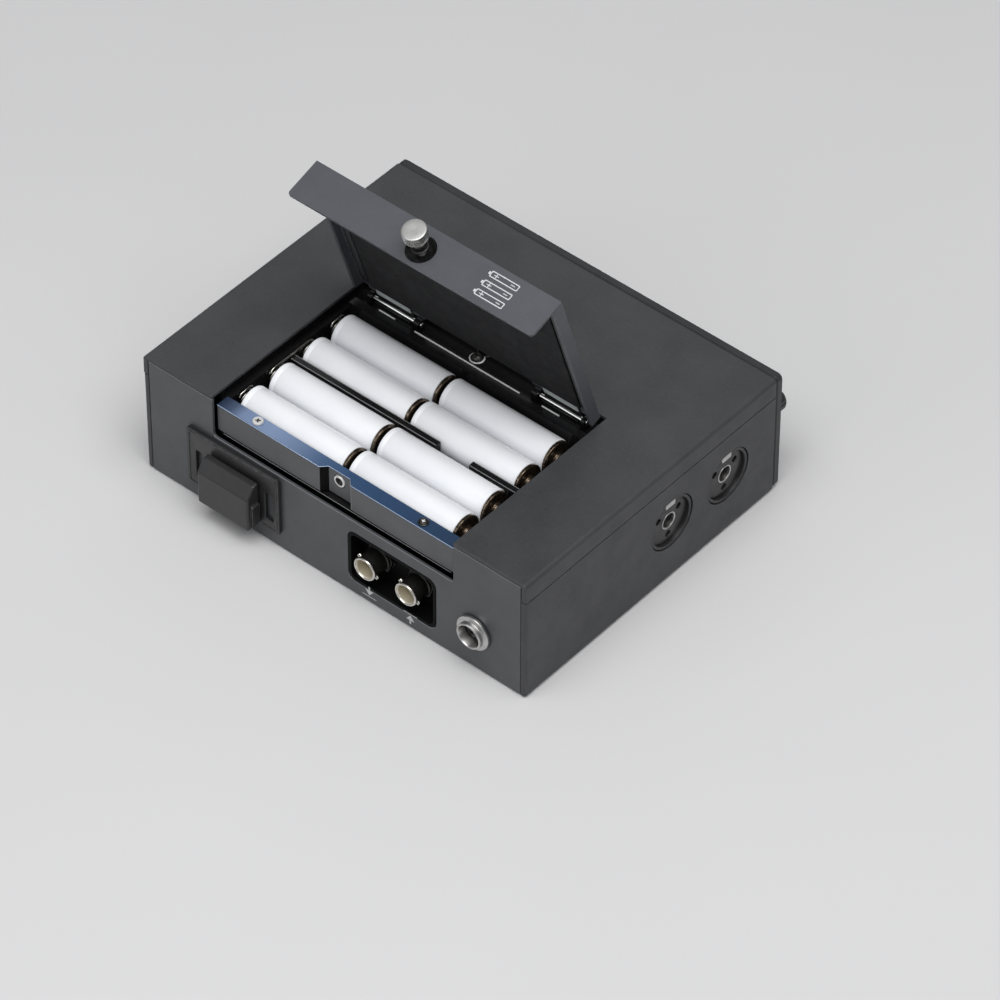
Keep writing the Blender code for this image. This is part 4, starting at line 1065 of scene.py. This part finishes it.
# ------------------------------------------------------------------ rear sockets
for nm in ("timecode_in_socket", "timecode_out_socket"):
    lo, hi = B(nm)
    cx, y0 = (lo.x + hi.x) / 2, lo.y
    cz = 18.0
    cz = (lo.z + hi.z) / 2
    shell = ring(rounded([(3.95, 15.3), (4.12, 15.72, 0.12), (4.3, 15.79, 0.1), (4.62, 15.74, 0.18), (4.84, 15.4, 0.15), (4.84, 14.6, 0.1), (4.6, 14.5, 0.1), (4.6, 8.6, 0.2), (5.1, 8.3, 0.1), (5.1, 7.55), (3.9, 7.4), (3.9, 8.2)], True, 3), 80)
    parts = [shell]
    a = math.radians(36)
    for s in (0, math.pi):
        lug = lathe(rounded([(0, 1.15), (0.6, 1.15, 0.2), (0.8, 0.95, 0.1), (0.8, -0.6), (0, -0.6)], False, 3), 24)
        m = Matrix.Rotation(-(a + s), 4, 'Z') @ Matrix.Translation((4.45, 0, 13.3)) @ Matrix.Rotation(math.pi / 2, 4, 'Y')
        bmesh.ops.transform(lug, matrix=m, verts=lug.verts)
        parts.append(lug)
    bm = merge(*parts)
    # the shell below the bayonet, down in the pocket, is painted black: painted shade
    for f in bm.faces:
        if f.calc_center_median().z < 12.4:
            f.material_index = 1
    aim(bm, '+y', (cx, y0, cz))
    ob = piece(nm + "_shell", bm, NICKEL, stands=nm, angle=30)
    ob.data.materials.append(NUT_BLACK)
    liner = ring([(3.72, 15.2), (3.96, 15.45), (3.97, 8.4), (3.72, 8.4)], 72)
    aim(liner, '+y', (cx, y0, cz))
    piece(nm + "_liner", liner, TUBE, angle=30)
    # hex nut and toothed washer on the pocket floor; their near-black is painted shade at the bottom of the pocket
    hexa = [(6.25 * math.cos(math.radians(60 * k + 12)), 6.25 * math.sin(math.radians(60 * k + 12)), 0.25) for k in range(6)]
    nut = plate([rounded(hexa, True, 3), disc(0, 0, 4.9, 48)], 6.2, 7.7, 0.15, 2)
    tooth = [((6.15 if k % 2 else 5.7) * math.cos(math.pi * k / 18), (6.15 if k % 2 else 5.7) * math.sin(math.pi * k / 18)) for k in range(36)]
    wash = plate([tooth, disc(0, 0, 4.95, 48)], 5.75, 6.1, 0.05, 1)
    body = lathe([(0, 0), (4.2, 0.0), (4.4, 0.3), (4.4, 5.9), (4.9, 6.0), (4.9, 8.0), (0, 8.0)], 48)
    bm = merge(nut, wash, body)
    aim(bm, '+y', (cx, y0, cz))
    piece(nm + "_nut", bm, NUT_BLACK, stands=nm, angle=30)
    ins = ring(rounded([(0.75, 11.2), (1.7, 11.2, 0.15), (2.1, 10.9, 0.1), (2.2, 9.3, 0.1), (3.9, 9.1), (3.9, 7.9), (0.75, 7.9)], True, 3), 48)
    aim(ins, '+y', (cx, y0, cz))
    piece(nm + "_insulator", ins, PTFE, angle=30)
    pin = ring([(0.32, 11.6), (0.5, 11.8), (0.66, 11.7), (0.68, 9.0), (0.32, 9.0)], 24)
    aim(pin, '+y', (cx, y0, cz))
    piece(nm + "_contact", pin, GOLD, angle=30)

# pale arrow marks below the two sockets, pointing in and out
for k, nm in enumerate(("timecode_in_socket", "timecode_out_socket")):
    lo, hi = B(nm)
    cx = (lo.x + hi.x) / 2
    s = 1 if k == 0 else -1
    tri = plate([[(-1.5, s * 0.9), (1.5, s * 0.9), (0, -s * 1.0)] if s > 0 else [(0, 1.0), (-1.5, -0.9), (1.5, -0.9)]], 0, 0.03, 0.005, 1)
    bar = plate([rrect(-0.3, 0.3, 0, 1.4, 0.05) if s > 0 else rrect(-0.3, 0.3, -1.4, 0, 0.05)], 0, 0.03, 0.005, 1)
    move(bar, 0, s * 0.85, 0)
    rngm = plate([rrect(-2.6, 2.6, -0.12, 0.12, 0.05)], 0, 0.03, 0.005, 1)
    move(rngm, 0, -s * 1.5, 0)
    bm = merge(tri, bar, rngm)
    face(bm, '+y')
    bmesh.ops.scale(bm, vec=(1.25, 1.0, 1.25), verts=bm.verts)
    move(bm, cx, B("rear_panel")[1].y + 0.005, 4.6)
    piece("socket_mark_%d" % (k + 1), bm, PRINT)

# multipin socket: frame with stepped border and slots, and its cap
lo, hi = B("multipin_socket")
f0, f1 = hi.y - 1.3, hi.y
out = rrect(lo.x, hi.x, lo.z, hi.z, 1.6, 6)
s1, s2 = rrect(26.6, 30.4, 12.0, 25.0, 0.8, 4), rrect(59.6, 63.4, 12.0, 25.0, 0.8, 4)
cav = rrect(36.5, 53.5, 12.0, 24.4, 0.8, 4)
fr = face(plate([out, s1, s2, cav], f0, f1, 0.2, 3), '+y')
rim = face(plate([rrect(lo.x + 0.9, hi.x - 0.9, lo.z + 0.9, hi.z - 0.9, 1.2, 5), rrect(lo.x + 1.7, hi.x - 1.7, lo.z + 1.7, hi.z - 1.7, 0.8, 5)], f1 - 0.1, f1 + 0.22, 0.1, 2), '+y')
tube = face(plate([rrect(34.2, 55.8, 9.6, 27.0, 0.8, 4), cav], 60.0, f0 + 0.3, 0.15, 2), '+y')
floor = face(plate([rrect(34.4, 55.6, 9.8, 26.8, 0.8, 4)], 60.1, 64.5, 0.1, 1), '+y')
piece("multipin_frame", merge(fr, rim, tube, floor), FRAME, stands="multipin_socket", angle=30)
bms = []
for i in range(2):
    for j in range(5):
        p = lathe(rounded([(0, 4.2), (0.45, 4.2, 0.2), (0.5, 3.8, 0.1), (0.5, 0), (0, 0)], False, 3), 16)
        aim(p, '+y', (39.4 + j * 2.8, 62.4, 16.0 + i * 4.4))
        bms.append(p)
piece("multipin_pins", merge(*bms), GOLD)

lo, hi = B("multipin_cap")
x0, x1, z0, z1 = lo.x, hi.x, lo.z, hi.z
yb, yf = 71.95, hi.y
# side outline: back face, sloped top, front, with soft corners
outline = rounded([(yb, z0, 0.5), (yf, z0, 1.0), (yf, z1 - 4.9, 1.2), (yf - 3.6, z1 - 0.4, 1.2), (yb, z1, 0.6)], True, 5)
cap = plate([outline], x0, x1, 0.8, 3)
cap = face(cap, '+x')
# pockets for the latch on both sides
ops = []
for s, xx in ((-1, x0), (1, x1)):
    ops.append(('-', edges(block(xx - 1.1, xx + 1.1, yb + 1.0, yf - 1.6, z0 + 2.4, z1 - 8.4, 0), 0.5, 2, lambda m, d: abs(d.x) > 0.9)))
cap = csg(cap, ops)
piece("multipin_cap_shell", cap, CAP, "multipin_cap", "multipin_cap", bevel=0.18, seg=2)
bms, lat = [], []
for s, xx in ((-1, x0), (1, x1)):
    strip = block(xx - 0.5, xx + 0.45, yf - 2.9, yf - 2.0, z0 + 3.0, z1 - 8.8, 0.3, 3)
    lat.append(strip)
piece("multipin_cap_latch_strips", merge(*lat), CAP_LATCH, "multipin_cap")
bms.append(block(37.2, 52.8, 67.0, yb + 0.4, 12.7, 23.7, 0.5, 2))
piece("multipin_cap_latches", merge(*bms), SATIN_BLACK, "multipin_cap", "multipin_cap")
# round power socket
lo, hi = B("dc_socket")
cx, cz, y0 = (lo.x + hi.x) / 2, (lo.z + hi.z) / 2, lo.y
bm = ring(rounded([(4.55, 12.9), (4.75, 13.3, 0.12), (5.2, 13.3, 0.15), (5.5, 13.0, 0.1), (5.5, 11.5, 0.1), (6.0, 11.3), (7.0, 11.2, 0.3), (7.2, 10.9, 0.1), (7.2, 9.85, 0.1), (5.6, 9.8), (5.6, 0.3), (4.55, 0.0)], True, 3), 72)
aim(bm, '+y', (cx, y0, cz))
piece("power_socket_shell", bm, STEEL, stands="dc_socket", angle=30)
bm = lathe(rounded([(0, 9.6), (3.9, 9.6, 0.2), (4.0, 8.0), (4.56, 7.8), (4.56, 4.0), (0, 4.0)], False, 3), 56)
ops = []
for k in range(4):
    a = math.radians(45 + 90 * k)
    d = lathe([(0, 0), (0.55, 0), (0.55, 6), (0, 6)], 20)
    move(d, 2.1 * math.cos(a), 2.1 * math.sin(a), 7.2)
    ops.append(('-', d))
ops.append(('-', block(-0.8, 0.8, 3.3, 4.6, 7.0, 11.0, 0)))
bm = csg(bm, ops)
aim(bm, '+y', (cx, y0, cz))
piece("power_socket_insert", bm, SATIN_BLACK, bevel=0.08, seg=2)

# ------------------------------------------------------------------ front controls
def control_knob(node, body, r, ln, flutes, mark=True):
    lo, hi = B(node)
    cx, cz = (lo.x + hi.x) / 2, (lo.z + hi.z) / 2
    yf = lo.y

    def fl(a, q, h, k):
        if 2.6 < h < ln - 1.0 and q > r - 0.8:
            d = min(1.0, (h - 2.6) / 0.5, (ln - 1.0 - h) / 0.5)
            return -0.34 * d * (0.5 - 0.5 * math.cos(a * flutes))
        return 0.0
    prof = rounded([(0, ln - 0.25), (r - 2.0, ln - 0.25, 0.3), (r - 1.4, ln, 0.3), (r - 0.75, ln, 0.4), (r - 0.3, ln - 0.9, 0.4)], False, 4)
    hh = ln - 1.05
    while hh > 3.0:
        prof.append((r - 0.28 + 0.28 * (ln - hh) / ln, hh))
        hh -= 0.55
    prof += rounded([(r, 2.7), (r + 0.35, 2.3, 0.3), (r + 0.85, 1.9, 0.4), (r + 0.9, 0.0, 0.2), (3.0, 0.0), (3.0, -10.4), (0, -10.5)], False, 4)[0:]
    bm = lathe(prof, flutes * 8, fl)
    aim(bm, '-y', (cx, -70.5, cz))
    piece(node + "_body", bm, SATIN_BLACK, body, node, angle=38)
    if mark:
        ln2 = merge(block(-0.28, 0.28, -ln - 0.04, -ln + 0.4, r * 0.45, r - 0.9, 0.08, 1), block(-0.28, 0.28, -ln + 0.9, -2.6, r - 0.55, r + 0.06, 0.08, 1))
        move(ln2, cx, -70.5, cz)
        piece(node + "_pointer", ln2, PRINT, body)
    else:
        dimp = lathe(rounded([(1.9, 0.0), (1.9, 0.12, 0.08), (1.5, 0.12, 0.08), (1.4, -0.3), (0, -0.45), (0, -1.0), (1.9, -1.0)][::-1], False, 3), 40)
        aim(dimp, '-y', (cx + 0.0, -70.5 - ln + 0.28, cz - r * 0.48))
        piece(node + "_finger_dish", dimp, SATIN_BLACK, body, angle=40)


for k in range(4):
    control_knob("gain_knob_%d" % (k + 1), "gain_knob_%d" % (k + 1), 5.9, 12.0, 18)
control_knob("headphone_knob", "headphone_knob", 5.2, 10.0, 16)
control_knob("select_dial", "select_dial", 7.6, 9.0, 30, mark=False)

# scale marks round the knobs, numerals over the channels
bms, nums = [], []
for k in range(4):
    lo, hi = B("gain_knob_%d" % (k + 1))
    cx, cz = (lo.x + hi.x) / 2, (lo.z + hi.z) / 2
    for i in range(11):
        a = math.radians(240 - 30 * i)
        if i in (0, 5, 10):
            m = plate([rrect(8.0, 9.4, -0.2, 0.2, 0.05)], 0, 0.03, 0.005, 1)
        else:
            m = plate([rrect(8.2, 9.0, -0.14, 0.14, 0.04)], 0, 0.03, 0.005, 1)
        bmesh.ops.rotate(m, verts=m.verts, cent=(0, 0, 0), matrix=Matrix.Rotation(a, 3, 'Z'))
        move(m, cx, cz, 0)
        bms.append(m)
    n = text(str(k + 1), 4.2, 0.04)
    move(n, cx, cz + 15.6, 0.02)
    nums.append(n)
lo, hi = B("headphone_knob")
cx, cz = (lo.x + hi.x) / 2, (lo.z + hi.z) / 2
for i in range(11):
    a = math.radians(240 - 30 * i)
    m = plate([rrect(7.2, 8.0, -0.14, 0.14, 0.04)], 0, 0.03, 0.005, 1)
    bmesh.ops.rotate(m, verts=m.verts, cent=(0, 0, 0), matrix=Matrix.Rotation(a, 3, 'Z'))
    move(m, cx, cz, 0)
    bms.append(m)
bm = merge(*bms, *nums)
face(bm, '-y')
move(bm, 0, -70.0 - 0.005, 0)
piece("front_scale_print", bm, PRINT)

# keys
ICON = {
    "rewind_key": [[(0.2, 0), (1.7, 1.0), (1.7, -1.0)], [(-1.7, 0), (-0.2, 1.0), (-0.2, -1.0)]],
    "stop_key": [[(-1.0, -1.0), (1.0, -1.0), (1.0, 1.0), (-1.0, 1.0)]],
    "forward_key": [[(-0.2, 0), (-1.7, 1.0), (-1.7, -1.0)], [(1.7, 0), (0.2, 1.0), (0.2, -1.0)]],
    "play_key": [[(-1.6, -1.05), (0.1, 0), (-1.6, 1.05)], [(0.7, -1.0), (1.1, -1.0), (1.1, 1.0), (0.7, 1.0)], [(1.5, -1.0), (1.9, -1.0), (1.9, 1.0), (1.5, 1.0)]],
    "record_key": [disc(0, 0, 1.15, 28)],
    "menu_key": [[(-1.4, 0.6), (1.4, 0.6), (1.4, 0.95), (-1.4, 0.95)], [(-1.4, -0.17), (1.4, -0.17), (1.4, 0.17), (-1.4, 0.17)], [(-1.4, -0.95), (1.4, -0.95), (1.4, -0.6), (-1.4, -0.6)]],
}
for nm in ("rewind_key", "stop_key", "forward_key", "play_key", "record_key", "power_key", "menu_key", "slate_key"):
    lo, hi = B(nm)
    cx, cz = (lo.x + hi.x) / 2, (lo.z + hi.z) / 2
    w, h = (hi.x - lo.x) - 2.0, (hi.z - lo.z) - 2.0
    capm = plate([rrect(-w / 2, w / 2, -h / 2, h / 2, 1.0, 6)], 66.4, 71.25, 0.42, 4)
    for v in capm.verts:                       # passes over the key top and leaves it flat
        if v.co.z > 71.2:
            pass
    flange = plate([rrect(-w / 2 - 1.0, w / 2 + 1.0, -h / 2 - 1.0, h / 2 + 1.0, 0.8, 3)], 64.95, 66.05, 0.1, 1)
    neck = plate([rrect(-w / 2 + 0.1, w / 2 - 0.1, -h / 2 + 0.1, h / 2 - 0.1, 0.8, 3)], 65.5, 67.0, 0.1, 1)
    bm = merge(capm, flange, neck)
    face(bm, '-y')
    move(bm, cx, 0, cz)
    piece(nm + "_cap", bm, KEYS, nm, nm, angle=40)
    bms = []
    if nm in ICON:
        for loop in ICON[nm]:
            bms.append(plate([loop], 71.24, 71.29, 0.008, 1))
    elif nm == "power_key":
        arc = [(1.15 * math.cos(a), 1.15 * math.sin(a)) for a in [math.radians(125 + 290 * k / 24) for k in range(25)]]
        inner_arc = [(0.82 * math.cos(a), 0.82 * math.sin(a)) for a in [math.radians(125 + 290 * k / 24) for k in range(25)]]
        bms.append(plate([arc + inner_arc[::-1]], 71.24, 71.29, 0.006, 1))
        bms.append(plate([rrect(-0.16, 0.16, 0.2, 1.4, 0.05)], 71.24, 71.29, 0.006, 1))
    else:                                      # slate: a small microphone sign
        bms.append(plate([rrect(-0.55, 0.55, -0.35, 1.25, 0.5)], 71.24, 71.29, 0.006, 1))
        bms.append(plate([rrect(-0.8, 0.8, -1.15, -0.9, 0.05)], 71.24, 71.29, 0.006, 1))
        bms.append(plate([rrect(-0.13, 0.13, -0.95, -0.55, 0.03)], 71.24, 71.29, 0.006, 1))
    bm = merge(*bms)
    face(bm, '-y')
    move(bm, cx, 0, cz)
    piece(nm + "_sign", bm, PRINT_RED if nm == "record_key" else PRINT, nm)

# display: window, cell, level bars and a running counter made of plain segments
lo, hi = B("display_lens")
bm = face(plate([rrect(lo.x, hi.x, lo.z, hi.z, 1.2, 6)], -hi.y, -lo.y, 0.2, 3), '-y')
piece("display_window", bm, LENS, stands="display_lens", angle=40)
mlo, mhi = B("display_module")
yb = mlo.y - 0.12


def seg_digit(ch, x, z, hgt):
    on = {'0': 'abcdef', '1': 'bc', '2': 'abged', '3': 'abgcd', '4': 'fgbc', '5': 'afgcd', '6': 'afgedc', '7': 'abc', '8': 'abcdefg', '9': 'abcdfg'}[ch]
    wd, t2 = hgt * 0.52, hgt * 0.07
    out = []
    for s in on:
        if s in 'agd':
            zz = {'a': hgt, 'g': hgt / 2, 'd': 0}[s]
            out.append(plate([rrect(x + t2, x + wd - t2, z + zz - t2, z + zz + t2, t2 * 0.8, 2)], 0, 0.04, 0.005, 1))
        else:
            xx = x + (wd if s in 'bc' else 0)
            z0 = z + (hgt / 2 if s in 'bf' else 0)
            out.append(plate([rrect(xx - t2, xx + t2, z0 + t2, z0 + hgt / 2 - t2, t2 * 0.8, 2)], 0, 0.04, 0.005, 1))
    return out


bms = []
x = mlo.x + 5.0
for ch in "00:12:47":
    if ch == ':':
        for zz in (1.4, 3.6):
            bms.append(plate([disc(x - 0.35, mhi.z - 9.2 + zz, 0.34, 12)], 0, 0.04, 0.005, 1))
        x += 1.3
    else:
        bms += seg_digit(ch, x, mhi.z - 9.2, 5.0)
        x += 4.3
bm = merge(*bms)
face(bm, '-y')
move(bm, 0, yb, 0)
piece("display_counter", bm, LIT_WHITE)
green, amber, red, frm = [], [], [], []
for k, lev in enumerate((15, 12, 17, 9)):
    z = mhi.z - 14.4 - k * 4.9
    for i in range(22):
        x = mlo.x + 8.2 + i * 1.78
        (green if i < 14 else amber if i < 19 else red).append((x, z, i < lev))
for nm, lst, mt in (("green", green, LIT_GREEN), ("amber", amber, LIT_AMBER), ("red", red, LIT_RED)):
    b2 = [plate([rrect(x, x + 1.35, z - 1.35, z + 1.35, 0.15, 2)], 0, 0.04, 0.005, 1) for x, z, on in lst if on]
    if b2:
        bm = merge(*b2)
        face(bm, '-y')
        move(bm, 0, yb, 0)
        piece("display_level_" + nm, bm, mt)
bms = []
for k in range(4):
    z = mhi.z - 14.4 - k * 4.9
    n = text(str(k + 1), 3.2, 0.03)
    move(n, mlo.x + 4.6, z, 0)
    bms.append(n)
    bms.append(plate([rrect(mlo.x + 7.4, mlo.x + 47.8, z - 1.95, z - 1.86, 0.03)], 0, 0.03, 0.005, 1))
bms.append(plate([rrect(mlo.x + 2, mhi.x - 2, mhi.z - 11.2, mhi.z - 11.05, 0.03)], 0, 0.03, 0.005, 1))
b0 = plate([rrect(mhi.x - 8.5, mhi.x - 3.6, mhi.z - 6.6, mhi.z - 3.8, 0.3), rrect(mhi.x - 8.2, mhi.x - 3.9, mhi.z - 6.3, mhi.z - 4.1, 0.2)], 0, 0.03, 0.005, 1)
b1 = plate([rrect(mhi.x - 8.0, mhi.x - 5.2, mhi.z - 6.1, mhi.z - 4.3, 0.1)], 0, 0.03, 0.005, 1)
bm = merge(*bms, b0, b1)
face(bm, '-y')
move(bm, 0, yb, 0)
piece("display_marks", bm, LIT_WHITE)

# headphone jack
lo, hi = B("headphone_jack")
cx, cz = (lo.x + hi.x) / 2, (lo.z + hi.z) / 2
bm = ring(rounded([(3.25, 7.5), (3.4, 7.8, 0.1), (3.9, 7.8, 0.12), (4.25, 7.5, 0.12), (4.25, 2.25, 0.1), (6.2, 2.0, 0.1), (6.2, -9.0, 0.1), (3.25, -9.0)], True, 3), 56)
aim(bm, '-y', (cx, -64.0, cz))
piece("headphone_jack_bush", bm, STEEL, stands="headphone_jack", angle=30)
ins = lathe(rounded([(0, -7.0), (3.24, -7.0), (3.24, -8.5), (0, -8.5)], False, 2), 32)
aim(ins, '-y', (cx, -64.0, cz))
piece("headphone_jack_end", ins, SATIN_BLACK)

# small grille for the slate microphone: countersunk holes drawn as dark cups
bms = []
for i in range(3):
    c = ring(rounded([(0.55, 0.0), (0.75, 0.10, 0.05), (0.95, 0.0), (0.95, -0.05), (0.55, -0.05)], True, 2), 24)
    bms.append(c)
    move(c, 64.0 + 0.0, 48.6 - 0.0, 0)
    bmesh.ops.translate(c, verts=c.verts, vec=((i - 1) * 2.6 - 1.5, 0, 0))
bm = merge(*bms)
face(bm, '-y')
move(bm, 0, -70.0, 0)
piece("slate_mic_grille", bm, SATIN_BLACK)

# ------------------------------------------------------------------ side jacks and card door
for i in range(1, 5):
    nm = "input_jack_%d" % i
    lo, hi = B(nm)
    s = -1 if lo.x < 0 else 1
    way = '+x' if s > 0 else '-x'
    cy, cz = (lo.y + hi.y) / 2, (lo.z + hi.z) / 2
    xin = 60.5
    R = 11.3
    pins = []
    for k in range(3):
        a = math.radians(90 + 120 * k + 60)
        pins.append(disc(cy + 6.4 * math.cos(a), cz + 6.4 * math.sin(a), 1.3, 24))
    bore = disc(cy, cz, 3.3, 40)
    fl = plate([disc(cy, cz, R - 1.35, 72), bore] + pins, 84.0, 87.3, 0.22, 3)
    rim = plate([disc(cy, cz, R, 96), disc(cy, cz, R - 1.3, 96)], 80.0, 88.6, 0.35, 4)
    bodyp = plate([rrect(cy - 13.0, cy + 13.0, cz - 14.8, cz + 14.8, 1.5, 4), bore], 68.0, 86.2, 0.3, 2)
    back = plate([rrect(cy - 12.6, cy + 12.6, cz - 14.4, cz + 14.4, 1.5, 4)], 60.6, 68.2, 0.3, 2)
    bm = merge(fl, rim, bodyp, back)
    bmesh.ops.transform(bm, matrix=FACING['+x'], verts=bm.verts)
    if s < 0:
        for v in bm.verts:
            v.co.x = -v.co.x
    bmesh.ops.recalc_face_normals(bm, faces=bm.faces)
    piece(nm + "_socket", bm, SATIN_BLACK, stands=nm, angle=35)
    # metal liner of the centre bore and the release lever at the top
    ln = ring(rounded([(3.0, 0.0), (3.0, 3.2, 0.1), (3.28, 3.35, 0.1), (3.6, 3.3, 0.1), (3.6, 3.05), (3.29, 3.0), (3.29, 0.0)], True, 3), 48)
    aim(ln, way, (s * 84.2, cy, cz))
    lever = block(-2.6, 2.6, 7.2, 9.7, 87.1, 88.35, 0.4, 3)
    for v in lever.verts:
        v.co = Vector((s * v.co.z, cy + v.co.x, cz + v.co.y))
    bmesh.ops.recalc_face_normals(lever, faces=lever.faces)
    piece(nm + "_bore_liner", ln, STEEL, angle=30)
    piece(nm + "_release", lever, STEEL, angle=30)

lo, hi = B("card_door")
cy, cz = (lo.y + hi.y) / 2, (lo.z + hi.z) / 2
base = plate([rrect(lo.y, hi.y, lo.z, hi.z, 1.2, 6)], lo.x, hi.x, 0.3, 3)
base = face(base, '+x')
nail = lathe([(0, -3), (6.5, -3), (6.5, 3), (0, 3)], 64)
bmesh.ops.scale(nail, vec=(1, 0.42, 1), verts=nail.verts)
for v in nail.verts:
    v.co = Vector((v.co.z + hi.x + 2.45, cy + v.co.x, hi.z - 0.6 + v.co.y))
bmesh.ops.recalc_face_normals(nail, faces=nail.faces)
bm = csg(base, [('-', nail)])
piece("card_door_flap", bm, RUBBER, "card_door", "card_door", bevel=0.1, seg=2)
bms = [block(hi.x - 0.05, hi.x + 0.12, cy - 9 + k * 3.6 - 0.5, cy - 9 + k * 3.6 + 0.5, lo.z + 3.0, lo.z + 7.6, 0.08, 1) for k in range(6)]
piece("card_door_grip", merge(*bms), RUBBER, "card_door")

# circuit board dressing, seen when the card door is open
bms = [block(-20, 16, -18, 16, 17.9, 18.3, 0.15, 1), block(27, 43, -43, -21, 16.4, 16.8, 0.1, 1), block(64.5, 85.9, 28.0, 28.9, 15.4, 24.4, 0.1, 1), block(64.5, 85.9, 51.1, 52.0, 15.4, 24.4, 0.1, 1)]
piece("board_shields", merge(*bms), STEEL)

# ------------------------------------------------------------------ stage
def stage():
    bm = bmesh.new()
    bmesh.ops.create_grid(bm, x_segments=1, y_segments=1, size=6.0)
    me = bpy.data.meshes.new("floor")
    bm.to_mesh(me)
    bm.free()
    m, nt, b, tc = _new("pale_floor")
    c = _mix(nt, _range(nt, _noise(nt, tc.outputs["Object"], 3.0, 3), 0, 1), (0.60, 0.60, 0.605), (0.58, 0.58, 0.585))
    nt.links.new(c, b.inputs["Base Color"])
    b.inputs["Roughness"].default_value = 0.75
    me.materials.append(m)
    fl = bpy.data.objects.new("floor", me)
    fl.location = (0, 0, -0.0004)
    COLL.objects.link(fl)
    fl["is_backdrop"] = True

    def area(name, loc, aim_at, size, power, col=(1, 1, 1), size_y=None):
        d = bpy.data.lights.new(name, 'AREA')
        d.shape = 'RECTANGLE'
        d.size = size
        d.size_y = size_y or size
        d.energy = power
        d.color = col
        o = bpy.data.objects.new(name, d)
        o.location = loc
        o.rotation_euler = (Vector(aim_at) - Vector(loc)).to_track_quat('-Z', 'Y').to_euler()
        COLL.objects.link(o)

    area("top", (-0.35, 0.35, 1.5), (0, 0, 0.03), 1.5, 24.0, (1.0, 0.995, 0.99), 1.1)
    area("side", (-1.5, 0.3, 0.95), (0, 0, 0.05), 1.8, 2.6, (0.97, 0.98, 1.0), 1.4)
    area("back", (0.9, -1.2, 1.0), (0, 0, 0.04), 1.6, 1.6, (1.0, 0.99, 0.98), 1.0)
    area("front", (0.4, 1.5, 0.9), (0, 0, 0.04), 1.5, 4.2, (0.98, 0.99, 1.0), 0.8)
    w = bpy.data.worlds.new("soft_room")
    bpy.context.scene.world = w
    w.use_nodes = True
    nt = w.node_tree
    bg = nt.nodes["Background"]
    tcw = nt.nodes.new("ShaderNodeTexCoord")
    sep = nt.nodes.new("ShaderNodeSeparateXYZ")
    nt.links.new(tcw.outputs["Generated"], sep.inputs[0])
    ramp = nt.nodes.new("ShaderNodeValToRGB")
    ramp.color_ramp.elements[0].position = 0.0
    ramp.color_ramp.elements[0].color = (0.30, 0.30, 0.31, 1)
    ramp.color_ramp.elements[1].position = 0.9
    ramp.color_ramp.elements[1].color = (0.82, 0.83, 0.85, 1)
    nt.links.new(sep.outputs[2], ramp.inputs[0])
    nt.links.new(ramp.outputs[0], bg.inputs[0])
    bg.inputs[1].default_value = 0.42

    cam = bpy.data.cameras.new("camera")
    ob = bpy.data.objects.new("camera", cam)
    COLL.objects.link(ob)
    x = Vector((-0.759194419171525, -0.6508604755955256, 0.0021154683587973513))
    y = Vector((0.4564702188714878, -0.5301259155702728, 0.7145638200498231))
    z = Vector((-0.4639598831604161, 0.5434585126284674, 0.6995670603090363))
    m = Matrix((x, y, z)).transposed().to_4x4()
    m.translation = Vector((-1.0697467579623345, 1.2326572209565585, 1.5852561187279572))
    ob.matrix_world = m
    cam.sensor_width = 36.0
    cam.sensor_fit = 'HORIZONTAL'
    cam.lens = 228.238
    cam.clip_start, cam.clip_end = 0.05, 30
    bpy.context.scene.camera = ob
    vs = bpy.context.scene.view_settings
    vs.view_transform = 'Standard'
    vs.look = 'None'


stage()

lo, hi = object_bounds()
